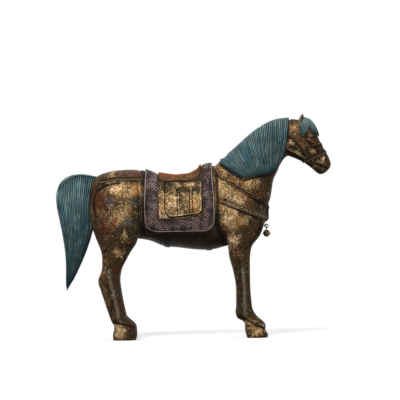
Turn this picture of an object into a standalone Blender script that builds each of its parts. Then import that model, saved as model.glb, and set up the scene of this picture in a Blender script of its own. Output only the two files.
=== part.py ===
"""A standing horse statuette: hollow bronze castings pinned together, with applied saddlery.

+X points to the nose, +Y to the horse's left side and +Z up. The origin lies on the ground, under the
middle of the overall box. Sizes here are millimetres, and a finished mesh is in metres.
"""

import math
from collections import namedtuple

import bmesh
import bpy
from mathutils import Matrix, Vector

MM = 0.001

# Fineness: facets round each kind of casting, and the skin's voxels, blending and thinning
BODY_SIDES = 24
CORE_SIDES = 12
NECK_SIDES = 20
HEAD_SIDES = 16
LEG_SIDES = 14
TAIL_SIDES = 28
EAR_SIDES = 10
ROUND_SIDES = 12
WIRE_SIDES = 10
PLUG_SIDES = 24
NUT_SIDES = 6
RING_SIDES = 16
RING_WIRE_SIDES = 6
CORNER_STEPS = 4
SKIN_GRAIN = 2.2
SKIN_SMOOTHING_STEPS = 24
SKIN_SHARE = 0.036

# Cutters: half their reach across the horse, how far one runs out, and how far a join bites
REACH = 70.0
RUN_OUT = 12.0
BITE = 2.0
LEG_OVERRUN = 20.0
LEG_CUT_MARGIN = 1.5

# Fits, walls and fixings
GAP = 0.3
WALL = 5.0
LEG_SPIGOT_DIAMETER = 12.0
LEG_SPIGOT_LENGTH = 13.0
LEG_PIN_DIAMETER = 3.0
LEG_PIN_DEPTH = 8.0
LEG_PIN_RECESS = 1.0
NECK_SPIGOT_WALL = 2.5
NECK_SPIGOT_LENGTH = 18.0
NECK_PIN_DEPTH = 10.5
NECK_PIN_DIAMETER = 3.0
NECK_PIN_LENGTH = 4.4
NECK_PIN_RECESS = 1.3
HEAD_SPIGOT_DIAMETER = 13.0
HEAD_SPIGOT_LENGTH = 12.0
HEAD_PIN_DIAMETER = 2.5
HEAD_PIN_LENGTH = 24.0
TAIL_SPIGOT_DIAMETER = 9.0
TAIL_SPIGOT_LENGTH = 26.0
TAIL_PIN_DIAMETER = 2.5
TAIL_PIN_LENGTH = 17.0
TAIL_PIN_EDGE = 5.0
EAR_PEG_DIAMETER = 3.0
EAR_PEG_LENGTH = 11.0
EAR_PEG_DEPTH = 4.0
MANE_DOWEL_STEP = 6.0
MANE_DOWEL_DIAMETER = 2.5
MANE_DOWEL_LENGTH = 6.0
MANE_DOWEL_BITE = 1.6
STUD_DIAMETER = 3.0
STUD_BITE = 2.5
STUD_END = 1.0
NUT_ACROSS = 7.0
NUT_HEIGHT = 3.0
NUT_SEAT = 1.6
BELLY_PLUG_DIAMETER = 20.0
BELLY_PLUG_THICKNESS = 3.5
BELLY_PLUG_RECESS = 1.8

# Saddlery thicknesses, from the horse's back outwards
PAD_THICKNESS = 0.8
BLANKET_THICKNESS = 1.5
BORDER_THICKNESS = 1.0
FLAP_THICKNESS = 2.2
SEAT_HALF_WIDTH = 22.0
STRAP_THICKNESS = 1.5
GIRTH_THICKNESS = 0.8
BRIDLE_THICKNESS = 1.2
MANE_THICKNESS = 3.6
FORELOCK_THICKNESS = 3.6

# The hair's main locks: flutes round the tail, and grooves across the mane
TAIL_FLUTE_DEPTH = 1.8
TAIL_FLUTE_SHARE = 0.25
MANE_GROOVE_WIDTH = 2.6
MANE_GROOVE_DEPTH = 1.4

# Strap widths and the bell's hanging
UPPER_STRAP_WIDTH = 4.0
LOWER_STRAP_WIDTH = 7.0
CRUPPER_WIDTH = 6.5
GIRTH_WIDTH = 7.0
BRIDLE_WIDTH = 4.0
CROWN_WIDTH = 6.0
PENDANT_WIDTH = 7.0
BELL_RADIUS = 5.0
BELL_SLIT_WIDTH = 0.9
BELL_SLIT_DEPTH = 2.4
BELL_NECK_SINK = 0.5
WIRE_PLAY = 0.2
EYE_RADIUS = 1.8
EYE_WIRE_RADIUS = 0.6
LINK_RADIUS = 2.3
LINK_WIRE_RADIUS = 0.6
STAPLE_WIRE_RADIUS = 0.7
STAPLE_HALF_WIDTH = 2.6
STAPLE_BAR_OVERHANG = 0.8
STAPLE_LENGTH = 9.0
STAPLE_SETBACK = 0.1
STAPLE_Z = 144.8

# Where the castings meet
FORELEG_Y = 20.0
HINDLEG_Y = 22.0
FORELEG_JOINT_Z = 118.0
HINDLEG_JOINT_Z = 124.0
EAR_Y = 8.0
SIDE_GAP = 1.0

# The fixings' places along the body
SADDLE_STUD_X = {"rear": -34.0, "front": -12.0}
BELLY_PLUG_X = -8.0
GIRTH_X = {"girth_rear": -35.3, "girth_front": 19.3}
GIRTH_TOP_Z = 141.0
GIRTH_FOOT_Z = 100.0
TAIL_SPIGOT_TIP_X = -116.0
TAIL_SPIGOT_Z = 203.0

# A section of a casting: two points on its side outline, its half width, where between the second
# point (0) and the first (1) it is widest, and how far its middle is shifted towards +Y.
Section = namedtuple("Section", "x1 z1 x2 z2 half_width widest shift", defaults=(0.5, 0))

TORSO = [
    Section(-134.5, 192, -134.5, 176, 5),
    Section(-131, 206, -131, 164, 17),
    Section(-123, 213.5, -123, 151, 27),
    Section(-108, 218.5, -108, 141, 34, 0.55),
    Section(-90, 220.3, -90, 133, 37.5, 0.55),
    Section(-72, 219.8, -72, 130.5, 38),
    Section(-57, 215.3, -57, 127.5, 38),
    Section(-40, 207.8, -40, 120.5, 39.5),
    Section(-20, 204.4, -20, 118, 41, 0.48),
    Section(-4, 207.2, -4, 115.7, 40.5, 0.46),
    Section(5, 213, 5, 114.8, 39.2, 0.43),
    Section(13, 221.2, 13, 114.2, 38, 0.41),
    Section(26, 223.4, 26, 115, 35, 0.4),
    Section(42, 215.5, 42, 119, 31.5, 0.43),
    Section(60, 203.5, 60, 121, 28.5, 0.47),
    Section(77, 191.5, 77, 125, 25),
    Section(88.5, 182, 88.5, 138.5, 18),
    Section(94.3, 172, 94.3, 150, 8),
]
NECK_ROOT = [Section(22, 200, 86, 150, 18), Section(25, 212, 95, 167, 24.6)]
NECK = [
    Section(31, 225, 100, 180, 25, 0.42),
    Section(44.5, 234, 102.5, 193, 22.5, 0.42),
    Section(59, 246, 104.5, 203.5, 20.5, 0.42),
    Section(75, 260, 109.3, 213.4, 18.5, 0.42),
    Section(91.5, 271.8, 113.3, 222.2, 16.7, 0.45),
    Section(107, 278.8, 118, 229.6, 15.2, 0.48),
    Section(121, 281, 123, 234, 14.2),
]
HEAD = [
    Section(136, 281.4, 128.4, 232.6, 15.2),
    Section(150.3, 279.6, 137, 229, 15.8, 0.52),
    Section(160, 267, 144.4, 225.2, 14.8, 0.6),
    Section(164.9, 255.2, 150.6, 220.6, 12.2, 0.62),
    Section(170, 244.8, 156.3, 215.9, 10.3),
    Section(175.7, 234.5, 160.8, 211.7, 9.4),
    Section(178.9, 226.5, 165.2, 209.4, 9, 0.45),
    Section(179.6, 221, 169.8, 210.4, 6.6),
    Section(178.4, 217.6, 173.5, 212.6, 3),
]
FORELEG = [
    Section(75, 190, 46, 190, 7, 0.5, -10),
    Section(84, 181, 38, 181, 12.5, 0.5, -4.5),
    Section(87.5, 167, 36, 167, 15.5, 0.5, -1.5),
    Section(90.5, 146, 37, 146, 15),
    Section(84.6, 131, 41, 131, 13),
    Section(74.5, FORELEG_JOINT_Z, 43.8, FORELEG_JOINT_Z, 11.6),
    Section(72, 105, 45, 105, 10.6),
    Section(71.6, 87, 49.6, 87, 9.8),
    Section(71.5, 66, 53, 66, 8.2),
    Section(72.6, 48, 53, 48, 7.9),
    Section(73.6, 39, 52.8, 39, 8.6),
    Section(76.8, 31, 51.8, 31, 9.2),
    Section(81, 25.5, 54, 25.5, 8.8),
    Section(86, 21.5, 61, 21.5, 9.2),
    Section(90.6, 16.5, 63.5, 16.5, 10.6),
    Section(89.6, 10, 63.8, 10, 11.4),
    Section(93.2, 4, 64.6, 4, 12.2),
    Section(92.8, 0, 66, 0, 11.6),
]
HINDLEG = [
    Section(-74, 205, -124, 205, 8, 0.5, -8),
    Section(-67, 190, -129, 190, 13.5, 0.5, -2.5),
    Section(-64, 170, -134, 170, 16.5),
    Section(-64.5, 148, -132, 148, 16.5),
    Section(-72, 131, -126.5, 131, 14.5),
    Section(-75.6, HINDLEG_JOINT_Z, -123.8, HINDLEG_JOINT_Z, 13.2),
    Section(-83.8, 112, -120, 112, 11.4),
    Section(-89.4, 102, -119.6, 102, 10.4),
    Section(-95, 91, -120.4, 91, 9.8),
    Section(-97.4, 77, -125.2, 77, 9.8),
    Section(-96.2, 64, -121.8, 64, 8.8),
    Section(-93.8, 49, -117.2, 49, 8),
    Section(-91.6, 38, -113.8, 38, 8.2),
    Section(-89.6, 30, -111.2, 30, 9),
    Section(-83.4, 24, -109, 24, 8.8),
    Section(-78, 18.5, -105.8, 18.5, 10.2),
    Section(-76.8, 11.5, -106.8, 11.5, 11.4),
    Section(-76.6, 4, -107.8, 4, 12.4),
    Section(-77.4, 0, -107, 0, 11.8),
]
TAIL = [
    Section(-120, 211.5, -120, 195, 7),
    Section(-130, 214.2, -129, 192, 9),
    Section(-145, 216.4, -131, 186, 11.5),
    Section(-160, 214.4, -130, 177, 13),
    Section(-172.6, 206, -129, 167, 14),
    Section(-179, 191.5, -129, 156.5, 14.5),
    Section(-179.4, 176, -130, 147, 14.5),
    Section(-176, 159, -132.5, 137, 14),
    Section(-171.4, 136, -137.6, 121, 12.5),
    Section(-168.6, 113, -143.2, 107, 10.5),
    Section(-168.2, 95, -149.2, 94, 8),
    Section(-168.8, 81, -155.6, 81, 5.5),
    Section(-168.8, 71, -161.8, 71, 3.2),
    Section(-167.9, 64.4, -165.6, 64.4, 1.2),
]
EAR = [
    Section(144.6, 274, 137.2, 274, 3.4),
    Section(145.6, 279.5, 138.2, 279.5, 3.2),
    Section(145.4, 284.5, 140.2, 284.5, 2.2),
    Section(144.6, 288.3, 143.2, 288.3, 0.7),
]

# Side outlines of what lies on the castings, as corner points with their rounding radius
BLANKET_OUTLINE = [
    (-60.4, 245, 0), (-64.2, 176, 0), (-63.8, 138.6, 16), (27.4, 138.6, 15), (27.2, 180, 0), (23.6, 245, 0),
]
BORDER_WINDOW = [(-45.5, 245, 0), (-45, 156.5, 0), (12.6, 156.5, 3), (11.4, 245, 0)]
PAD_OUTLINE = [(-66.6, 245, 0), (-68, 180, 0), (-68, 141.5, 14), (24.4, 141.5, 14), (20.6, 245, 0)]
FLAP_OUTLINE = [(-36, 203.6, 1.5), (-36, 157.6, 9), (10.4, 162.6, 7), (10.4, 203.6, 0)]
SEAT_OUTLINE = [
    (-44.8, 216.5, 1), (-44.8, 206.5, 2), (-40, 204.2, 3), (-7, 204.2, 6), (4, 207.5, 6), (10.6, 213.5, 0),
    (10.6, 227.6, 1), (5.4, 220, 8), (-5, 214.5, 20), (-22, 213, 30),
]
MANE_OUTLINE = [
    (126.5, 291, 0), (124.6, 262, 40), (119, 241, 20), (105.5, 218.5, 12), (97.5, 211.5, 6), (82, 209.7, 10),
    (67.5, 205.5, 12), (40.5, 220.5, 6), (35.6, 225.4, 0), (37, 229.4, 0), (43.2, 238.4, 0), (50, 245, 0),
    (46, 258, 0), (62, 282, 0), (105, 300, 0),
]
MANE_GROOVES = [
    [(43.5, 244.5), (48.5, 238.5), (60, 224), (72.5, 206)],
    [(54.5, 254), (60, 248), (68, 229), (78.5, 207.5)],
    [(66, 263.5), (71, 257.5), (76.5, 233.5), (84.5, 208.5)],
    [(78.5, 273), (83, 266.5), (86, 237.5), (90.5, 209.5)],
    [(92, 281.5), (95.5, 274.5), (95.5, 240.5), (96.5, 210)],
    [(108.5, 287.5), (109.5, 279.5), (106.5, 243.5), (101, 213.5)],
]
FORELOCK_OUTLINE = [
    (148.4, 288, 0), (148.2, 276.5, 2), (144.6, 271.2, 3), (138.8, 270.2, 1.5), (139.2, 262, 5),
    (142.6, 257.2, 1.5), (147.2, 262.4, 5), (151, 270.6, 3), (158, 262.5, 3), (164.5, 259.5, 0),
    (171, 262, 0), (170, 288, 0),
]
UPPER_STRAP_PATH = [(28.5, 215.2), (66, 189.6), (108, 160)]
LOWER_STRAP_PATH = [(29.4, 182.6), (78, 161), (108, 147.6)]
CRUPPER_PATH = [(-68.6, 208.2), (-100, 208.6), (-120, 205.6)]
NOSEBAND_PATH = [(140, 223.5), (160, 233.6), (184, 243)]
FACE_BAND_PATH = [(151.5, 245.6), (164, 247.8), (178, 250.4)]
CHEEK_STRAP_PATH = [(126, 259.4), (133, 254.2), (141.4, 243), (148.3, 232.4)]
CROWN_PATH = [(131.5, 292), (131.4, 262)]
PENDANT_FOOT_Z = 149.5
PENDANT_TOP_Z = 172.0
PENDANT_INNER_X = 80.0


def inset(section, depth):
    """The section moved inwards all round."""
    first, second = Vector((section.x1, section.z1)), Vector((section.x2, section.z2))
    inwards = (second - first).normalized() * depth
    first, second = first + inwards, second - inwards
    return Section(*first, *second, section.half_width - depth, section.widest, section.shift)


def axis_of(section):
    """The unit normal of a section's plane, in the side view."""
    across = Vector((section.x2 - section.x1, section.z2 - section.z1)).normalized()
    return Vector((-across.y, across.x))


def moved(section, distance):
    """The section shifted along its own normal."""
    step = axis_of(section) * distance
    return section._replace(
        x1=section.x1 + step.x, z1=section.z1 + step.y, x2=section.x2 + step.x, z2=section.z2 + step.y
    )


def middle_of(section):
    """The middle of a section, in the mid plane."""
    return Vector(((section.x1 + section.x2) / 2, 0, (section.z1 + section.z2) / 2))


def point_on(section, angle):
    """The point of a section's rim at an angle from its first outline point."""
    first, second = Vector((section.x1, 0, section.z1)), Vector((section.x2, 0, section.z2))
    widest = second.lerp(first, section.widest)
    end = first if math.cos(angle) > 0 else second
    point = widest.lerp(end, abs(math.cos(angle)))
    point.y = section.shift + section.half_width * math.sin(angle)
    return point


def loft(sections, sides, flute=0):
    """A closed skin drawn through sections: a ring extruded and reshaped from one to the next.

    With a flute, every other line along the skin lies that much deeper, and less where it is thin.
    """

    def place(vert, section):
        depth = min(vert[depth_of], section.half_width * TAIL_FLUTE_SHARE)
        vert.co = point_on(inset(section, depth), vert[angle_of])

    bm = bmesh.new()
    angle_of = bm.verts.layers.float.new("angle")
    depth_of = bm.verts.layers.float.new("depth")
    rim = bmesh.ops.create_circle(bm, cap_ends=True, radius=1, segments=sides)["verts"]
    for i, vert in enumerate(rim):
        vert[angle_of] = math.atan2(vert.co.y, vert.co.x)
        vert[depth_of] = flute * (i % 2)
        place(vert, sections[0])
    edges = list(bm.edges)
    for section in sections[1:]:
        made = bmesh.ops.extrude_edge_only(bm, edges=edges)["geom"]
        edges = [item for item in made if isinstance(item, bmesh.types.BMEdge)]
        for vert in (item for item in made if isinstance(item, bmesh.types.BMVert)):
            place(vert, section)
    bmesh.ops.contextual_create(bm, geom=edges)
    bmesh.ops.recalc_face_normals(bm, faces=bm.faces)
    bmesh.ops.triangulate(bm, faces=bm.faces)
    return bm


def gathered(shapes):
    """Several shapes in one bmesh."""
    bm = bmesh.new()
    for shape in shapes:
        mesh = bpy.data.meshes.new("lump")
        shape.to_mesh(mesh)
        bm.from_mesh(mesh)
        bpy.data.meshes.remove(mesh)
    return bm


def cylinder(radius, start, end, sides=ROUND_SIDES):
    """A round bar between two points."""
    start, end = Vector(start), Vector(end)
    bm = bmesh.new()
    bmesh.ops.create_cone(
        bm, cap_ends=True, segments=sides, radius1=radius, radius2=radius, depth=(end - start).length
    )
    turn = Vector((0, 0, 1)).rotation_difference(end - start).to_matrix().to_4x4()
    bm.transform(Matrix.Translation((start + end) / 2) @ turn)
    return bm


def rounded(corners):
    """A side outline with its corners rounded: each corner is x, z and a radius."""
    outline = []
    for i, (x, z, radius) in enumerate(corners):
        corner = Vector((x, z))
        to_last = (Vector(corners[i - 1][:2]) - corner).normalized()
        to_next = (Vector(corners[(i + 1) % len(corners)][:2]) - corner).normalized()
        if radius == 0:
            outline.append(corner)
            continue
        half = to_last.angle(to_next) / 2
        start, end = (corner + way * radius / math.tan(half) for way in (to_last, to_next))
        centre = corner + (to_last + to_next).normalized() * radius / math.sin(half)
        for k in range(CORNER_STEPS + 1):
            spoke = (start - centre).normalized().slerp((end - centre).normalized(), k / CORNER_STEPS)
            outline.append(centre + spoke * radius)
    return outline


def strip(path, width):
    """The side outline of a strap of one width along a path."""
    points = [Vector(point) for point in path]
    left, right = [], []
    for i, point in enumerate(points):
        way = (points[min(i + 1, len(points) - 1)] - points[max(i - 1, 0)]).normalized()
        across = Vector((-way.y, way.x)) * width / 2
        left.append(point + across)
        right.append(point - across)
    return left + right[::-1]


def prism(outline, low_y, high_y):
    """A side outline extruded across the horse."""
    bm = bmesh.new()
    rim = [bm.verts.new((x, low_y, z)) for x, z in outline]
    face = bm.faces.new(rim)
    made = bmesh.ops.extrude_face_region(bm, geom=[face])["geom"]
    far = [item for item in made if isinstance(item, bmesh.types.BMVert)]
    bmesh.ops.translate(bm, verts=far, vec=(0, high_y - low_y, 0))
    bmesh.ops.recalc_face_normals(bm, faces=bm.faces)
    return bm


def box(low, high):
    """A block between two corners."""
    bm = bmesh.new()
    low, high = Vector(low), Vector(high)
    size = Matrix.Diagonal((*(high - low), 1))
    bmesh.ops.create_cube(bm, size=1, matrix=Matrix.Translation((low + high) / 2) @ size)
    return bm


def wire_ring(radius, wire_radius, turn):
    """A closed ring of round wire: a wire section spun about the ring's axis, which turn points."""
    bm = bmesh.new()
    section = Matrix.Translation((radius, 0, 0)) @ Matrix.Rotation(math.pi / 2, 4, "X")
    bmesh.ops.create_circle(bm, segments=RING_WIRE_SIDES, radius=wire_radius, matrix=section)
    bmesh.ops.spin(
        bm, geom=bm.edges[:], axis=(0, 0, 1), cent=(0, 0, 0), angle=2 * math.pi, steps=RING_SIDES,
        use_merge=True,
    )
    bmesh.ops.remove_doubles(bm, verts=bm.verts, dist=wire_radius / 100)
    bmesh.ops.recalc_face_normals(bm, faces=bm.faces)
    bm.transform(turn)
    return bm


def collection(name):
    made = bpy.data.collections.new(name)
    bpy.context.scene.collection.children.link(made)
    return made


def finish_mesh(bm, name):
    """Turns a bmesh in millimetres into a mesh in metres."""
    bm.transform(Matrix.Scale(MM, 4))
    mesh = bpy.data.meshes.new(name)
    bm.to_mesh(mesh)
    bm.free()
    return mesh


def part(name, shape, material, at=(0, 0, 0)):
    """A named piece of the statuette. Its mesh is drawn around its own origin."""
    mesh = shape if isinstance(shape, bpy.types.Mesh) else finish_mesh(shape, name)
    obj = bpy.data.objects.new(name, mesh)
    obj.location = Vector(at) * MM
    obj.parent = statuette
    parts.objects.link(obj)
    mesh.materials.append(material)
    mesh.shade_smooth()
    mesh.set_sharp_from_angle(angle=math.radians(40))
    return obj


def helper(name, shape):
    """A cutter or guide, which isn't a piece of the statuette."""
    mesh = shape if isinstance(shape, bpy.types.Mesh) else finish_mesh(shape, name)
    obj = bpy.data.objects.new(name, mesh)
    obj.hide_render = True
    obj.display_type = "WIRE"
    cutters.objects.link(obj)
    return obj


def boolean(obj, operation, *shapes):
    """Adds a Boolean for each shape, which is a bmesh or a helper."""
    for shape in shapes:
        tool = shape if isinstance(shape, bpy.types.Object) else helper(f"{obj.name}_tool", shape)
        modifier = obj.modifiers.new(operation.lower(), "BOOLEAN")
        modifier.operation = operation
        modifier.object = tool
    return obj


def grow(obj, distance):
    """Moves the skin of an object outwards along its normals."""
    modifier = obj.modifiers.new("grow", "DISPLACE")
    modifier.mid_level = 0
    modifier.strength = distance * MM
    return obj


def baked(obj):
    """The mesh of an object as its modifiers leave it."""
    graph = bpy.context.evaluated_depsgraph_get()
    return bpy.data.meshes.new_from_object(obj.evaluated_get(graph))


def layer(name, form, outline, inner, thickness, material, low_y=-REACH, high_y=REACH):
    """A sheet lying on a form: the space between two grown skins, cut to a side outline."""
    obj = part(name, form.copy(), material)
    grow(obj, inner + thickness)
    boolean(obj, "INTERSECT", prism(outline, low_y, high_y))
    return boolean(obj, "DIFFERENCE", grow(helper(f"{name}_under", form), inner))


def finish(name, colour, roughness, metallic):
    material = bpy.data.materials.new(name)
    material.use_nodes = True
    shader = material.node_tree.nodes["Principled BSDF"]
    shader.inputs["Base Color"].default_value = (*colour, 1)
    shader.inputs["Roughness"].default_value = roughness
    shader.inputs["Metallic"].default_value = metallic
    return material


for leftover in list(bpy.data.objects):
    bpy.data.objects.remove(leftover)
parts = collection("horse_statuette")
cutters = collection("cutters")
statuette = bpy.data.objects.new("statuette", None)
parts.objects.link(statuette)

gilt_bronze = finish("gilt_bronze", (0.24, 0.13, 0.045), 0.42, 0.85)
brown_bronze = finish("brown_bronze", (0.085, 0.045, 0.025), 0.45, 0.7)
gold_leaf = finish("gold_leaf", (0.55, 0.34, 0.12), 0.38, 0.9)
blue_pigment = finish("blue_pigment", (0.03, 0.12, 0.16), 0.6, 0.1)
plum_lacquer = finish("plum_lacquer", (0.06, 0.03, 0.045), 0.5, 0.2)
red_lacquer = finish("red_lacquer", (0.2, 0.05, 0.015), 0.5, 0.2)
pin_metal = finish("pin_metal", (0.3, 0.2, 0.1), 0.45, 1.0)


# Forms that the castings and the saddlery share
SIDES = {"right": -1, "left": 1}
HALVES = {"right": (-REACH, -SIDE_GAP), "left": (SIDE_GAP, REACH)}
LEGS = {
    "foreleg": (FORELEG, FORELEG_Y, FORELEG_JOINT_Z),
    "hindleg": (HINDLEG, HINDLEG_Y, HINDLEG_JOINT_Z),
}


def upper_leg(sections, joint_z, side, y):
    """A shoulder or thigh, from inside the barrel to a little below the leg's joint."""
    run = [s._replace(shift=side * (y + s.shift)) for s in sections if s.z1 > joint_z - LEG_OVERRUN]
    return loft(run, LEG_SIDES)


def skinned(obj):
    """Blends joined lofts into one even skin."""
    remesh = obj.modifiers.new("skin", "REMESH")
    remesh.mode = "VOXEL"
    remesh.voxel_size = SKIN_GRAIN * MM
    smooth = obj.modifiers.new("blend", "SMOOTH")
    smooth.iterations = SKIN_SMOOTHING_STEPS
    thin = obj.modifiers.new("thin", "DECIMATE")
    thin.ratio = SKIN_SHARE
    return obj


def torso_height(x, end):
    """The height of the torso's outline at a place along it, on top (z1) or below (z2)."""
    for near, far in zip(TORSO, TORSO[1:]):
        if near.x1 <= x <= far.x1:
            share = (x - near.x1) / (far.x1 - near.x1)
            return getattr(near, end) + (getattr(far, end) - getattr(near, end)) * share
    raise ValueError("outside the torso")


neck_joint, head_joint = NECK[0], NECK[-1]
crest, throat = Vector((neck_joint.x1, neck_joint.z1)), Vector((neck_joint.x2, neck_joint.z2))
above = axis_of(neck_joint) * REACH
above_neck = [crest * 2 - throat, throat * 2 - crest, throat * 2 - crest + above, crest * 2 - throat + above]
lumps = [loft(TORSO, BODY_SIDES), loft([*NECK_ROOT, *NECK[:3]], NECK_SIDES)]
for sections, y, joint_z in LEGS.values():
    lumps += [upper_leg(sections, joint_z, side, y) for side in SIDES.values()]
skin_mesh = baked(skinned(helper("skin_form", gathered(lumps))))
body_form = helper("body_form", skin_mesh)
boolean(body_form, "DIFFERENCE", prism(above_neck, -REACH, REACH))
for sections, y, joint_z in LEGS.values():
    joint = next(s for s in sections if s.z1 == joint_z)
    low = (joint.x2 - LEG_CUT_MARGIN, -REACH, joint_z - LEG_OVERRUN * 2)
    high = (joint.x1 + LEG_CUT_MARGIN, REACH, joint_z)
    boolean(body_form, "DIFFERENCE", box(low, high))
body_mesh = baked(body_form)
neck_mesh = finish_mesh(loft([*NECK_ROOT, *NECK, HEAD[0]], NECK_SIDES), "neck_form")
head_mesh = finish_mesh(loft([moved(head_joint, GAP), *HEAD], HEAD_SIDES), "head_form")

# Barrel: the hollow middle casting, cored through the neck
barrel = part("barrel", body_mesh.copy(), gilt_bronze)
core = [inset(section, WALL) for section in TORSO[3:-2]]
neck_core = [inset(section, WALL) for section in [*NECK_ROOT, moved(neck_joint, GAP)]]
boolean(barrel, "DIFFERENCE", loft(core, CORE_SIDES), loft(neck_core, CORE_SIDES))

# Legs: each stands on its hoof and has a round spigot that is pinned in the barrel
for name, (sections, y, joint_z) in LEGS.items():
    joint = next(s for s in sections if s.z1 == joint_z)
    above = min((s for s in sections if s.z1 > joint_z), key=lambda s: s.z1)
    below = [s for s in sections if s.z1 < joint_z]
    pin_reach = (joint.half_width + above.half_width) / 2 - LEG_PIN_RECESS
    for side_name, side in SIDES.items():
        seat = Vector((middle_of(joint).x, side * y, joint_z))
        skin = loft([joint._replace(z1=joint_z - GAP, z2=joint_z - GAP), *below], LEG_SIDES)
        skin.transform(Matrix.Translation((-seat.x, 0, -joint_z)))
        leg = part(f"{name}_{side_name}", skin, brown_bronze, seat)
        foot, top = seat - Vector((0, 0, BITE)), seat + Vector((0, 0, LEG_SPIGOT_LENGTH))
        boolean(leg, "UNION", cylinder(LEG_SPIGOT_DIAMETER / 2, foot, top))
        socket = (LEG_SPIGOT_DIAMETER / 2 + GAP, foot, top + Vector((0, 0, GAP)))
        boolean(barrel, "DIFFERENCE", cylinder(*socket))

        pin_at = seat + Vector((0, 0, LEG_SPIGOT_LENGTH / 2))
        out = Vector((0, side, 0))
        pin_end, pin_head = -out * LEG_PIN_DEPTH, out * pin_reach
        hole = (LEG_PIN_DIAMETER / 2 + GAP, pin_at + pin_end - out * GAP, pin_at + pin_head + out * RUN_OUT)
        boolean(leg, "DIFFERENCE", cylinder(*hole))
        boolean(barrel, "DIFFERENCE", cylinder(*hole))
        pin = cylinder(LEG_PIN_DIAMETER / 2, pin_end, pin_head)
        part(f"{name}_pin_{side_name}", pin, pin_metal, pin_at)

# Neck: a hollow casting whose thin spigot fills the barrel's mouth, with a pin through each side
spigot_foot = moved(neck_joint, -NECK_SPIGOT_LENGTH)
socket_run = (moved(spigot_foot, -GAP), moved(neck_joint, GAP))
boolean(barrel, "DIFFERENCE", loft([inset(s, NECK_SPIGOT_WALL - GAP) for s in socket_run], NECK_SIDES))

neck = part("neck", loft([moved(neck_joint, GAP), *NECK[1:]], NECK_SIDES), gilt_bronze)
spigot_run = (spigot_foot, moved(neck_joint, BITE))
boolean(neck, "UNION", loft([inset(s, NECK_SPIGOT_WALL) for s in spigot_run], NECK_SIDES))
neck_hollow = [inset(s, WALL) for s in (moved(spigot_foot, -BITE), neck_joint, *NECK[1:-1])]
boolean(neck, "DIFFERENCE", loft(neck_hollow, CORE_SIDES))

neck_pin_at = middle_of(moved(neck_joint, -NECK_PIN_DEPTH))
for side_name, side in SIDES.items():
    out = Vector((0, side, 0))
    outer = out * (neck_joint.half_width - NECK_PIN_RECESS)
    inner = outer - out * NECK_PIN_LENGTH
    hole_end, hole_mouth = neck_pin_at + inner - out * BITE, neck_pin_at + outer + out * RUN_OUT
    boolean(barrel, "DIFFERENCE", cylinder(NECK_PIN_DIAMETER / 2 + GAP, hole_end, hole_mouth))
    boolean(neck, "DIFFERENCE", cylinder(NECK_PIN_DIAMETER / 2 + GAP, hole_end, hole_mouth))
    part(f"neck_pin_{side_name}", cylinder(NECK_PIN_DIAMETER / 2, inner, outer), pin_metal, neck_pin_at)

# Head: a solid casting on a round spigot, crossed by one pin under the mane
head = part("head", head_mesh.copy(), gilt_bronze)
head_seat = middle_of(head_joint)
forward = Vector((axis_of(head_joint).x, 0, axis_of(head_joint).y))
spigot_end = head_seat - forward * HEAD_SPIGOT_LENGTH
boolean(head, "UNION", cylinder(HEAD_SPIGOT_DIAMETER / 2, spigot_end, head_seat + forward * BITE))
socket = (HEAD_SPIGOT_DIAMETER / 2 + GAP, spigot_end - forward * GAP, head_seat + forward * BITE)
boolean(neck, "DIFFERENCE", cylinder(*socket))

head_pin_at = head_seat - forward * HEAD_SPIGOT_LENGTH / 2
pin_half = Vector((0, HEAD_PIN_LENGTH / 2, 0))
hole_half = pin_half + Vector((0, RUN_OUT, 0))
hole = (HEAD_PIN_DIAMETER / 2 + GAP, head_pin_at - hole_half, head_pin_at + hole_half)
boolean(neck, "DIFFERENCE", cylinder(*hole))
boolean(head, "DIFFERENCE", cylinder(*hole))
part("head_pin", cylinder(HEAD_PIN_DIAMETER / 2, -pin_half, pin_half), pin_metal, head_pin_at)

# Ears: small castings pegged into the head
ear_x = middle_of(EAR[1]).x
for side_name, side in SIDES.items():
    shell = loft([section._replace(shift=side * EAR_Y) for section in EAR], EAR_SIDES)
    ear = part(f"ear_{side_name}", shell, gilt_bronze)
    boolean(ear, "DIFFERENCE", grow(helper(f"ear_{side_name}_seat", head_mesh), GAP))
    peg_foot = Vector((ear_x, side * EAR_Y, EAR[0].z1 - EAR_PEG_DEPTH))
    peg_top = peg_foot + Vector((0, 0, EAR_PEG_LENGTH))
    boolean(ear, "UNION", cylinder(EAR_PEG_DIAMETER / 2, peg_foot, peg_top))
    hole_foot, hole_top = peg_foot - Vector((0, 0, GAP)), peg_top + Vector((0, 0, RUN_OUT))
    boolean(head, "DIFFERENCE", cylinder(EAR_PEG_DIAMETER / 2 + GAP, hole_foot, hole_top))

# Tail: one solid casting with fluted locks, bedded on the rump on a spigot with a pin from above
tail = part("tail", loft(TAIL, TAIL_SIDES, TAIL_FLUTE_DEPTH), blue_pigment)
boolean(tail, "DIFFERENCE", grow(helper("tail_seat", body_mesh), GAP))
tip = Vector((TAIL_SPIGOT_TIP_X, 0, TAIL_SPIGOT_Z))
root = tip - Vector((TAIL_SPIGOT_LENGTH, 0, 0))
boolean(tail, "UNION", cylinder(TAIL_SPIGOT_DIAMETER / 2, root, tip))
boolean(barrel, "DIFFERENCE", cylinder(TAIL_SPIGOT_DIAMETER / 2 + GAP, root, tip + Vector((GAP, 0, 0))))

pin_x = TAIL_SPIGOT_TIP_X - TAIL_PIN_EDGE
tail_pin_head = Vector((pin_x, 0, torso_height(pin_x, "z1") - GAP))
pin_drop = Vector((0, 0, -TAIL_PIN_LENGTH))
up = Vector((0, 0, 1))
hole = (TAIL_PIN_DIAMETER / 2 + GAP, tail_pin_head + pin_drop - up * GAP, tail_pin_head + up * RUN_OUT)
boolean(tail, "DIFFERENCE", cylinder(*hole))
boolean(barrel, "DIFFERENCE", cylinder(*hole))
part("tail_pin", cylinder(TAIL_PIN_DIAMETER / 2, pin_drop, (0, 0, 0)), pin_metal, tail_pin_head)

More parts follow.
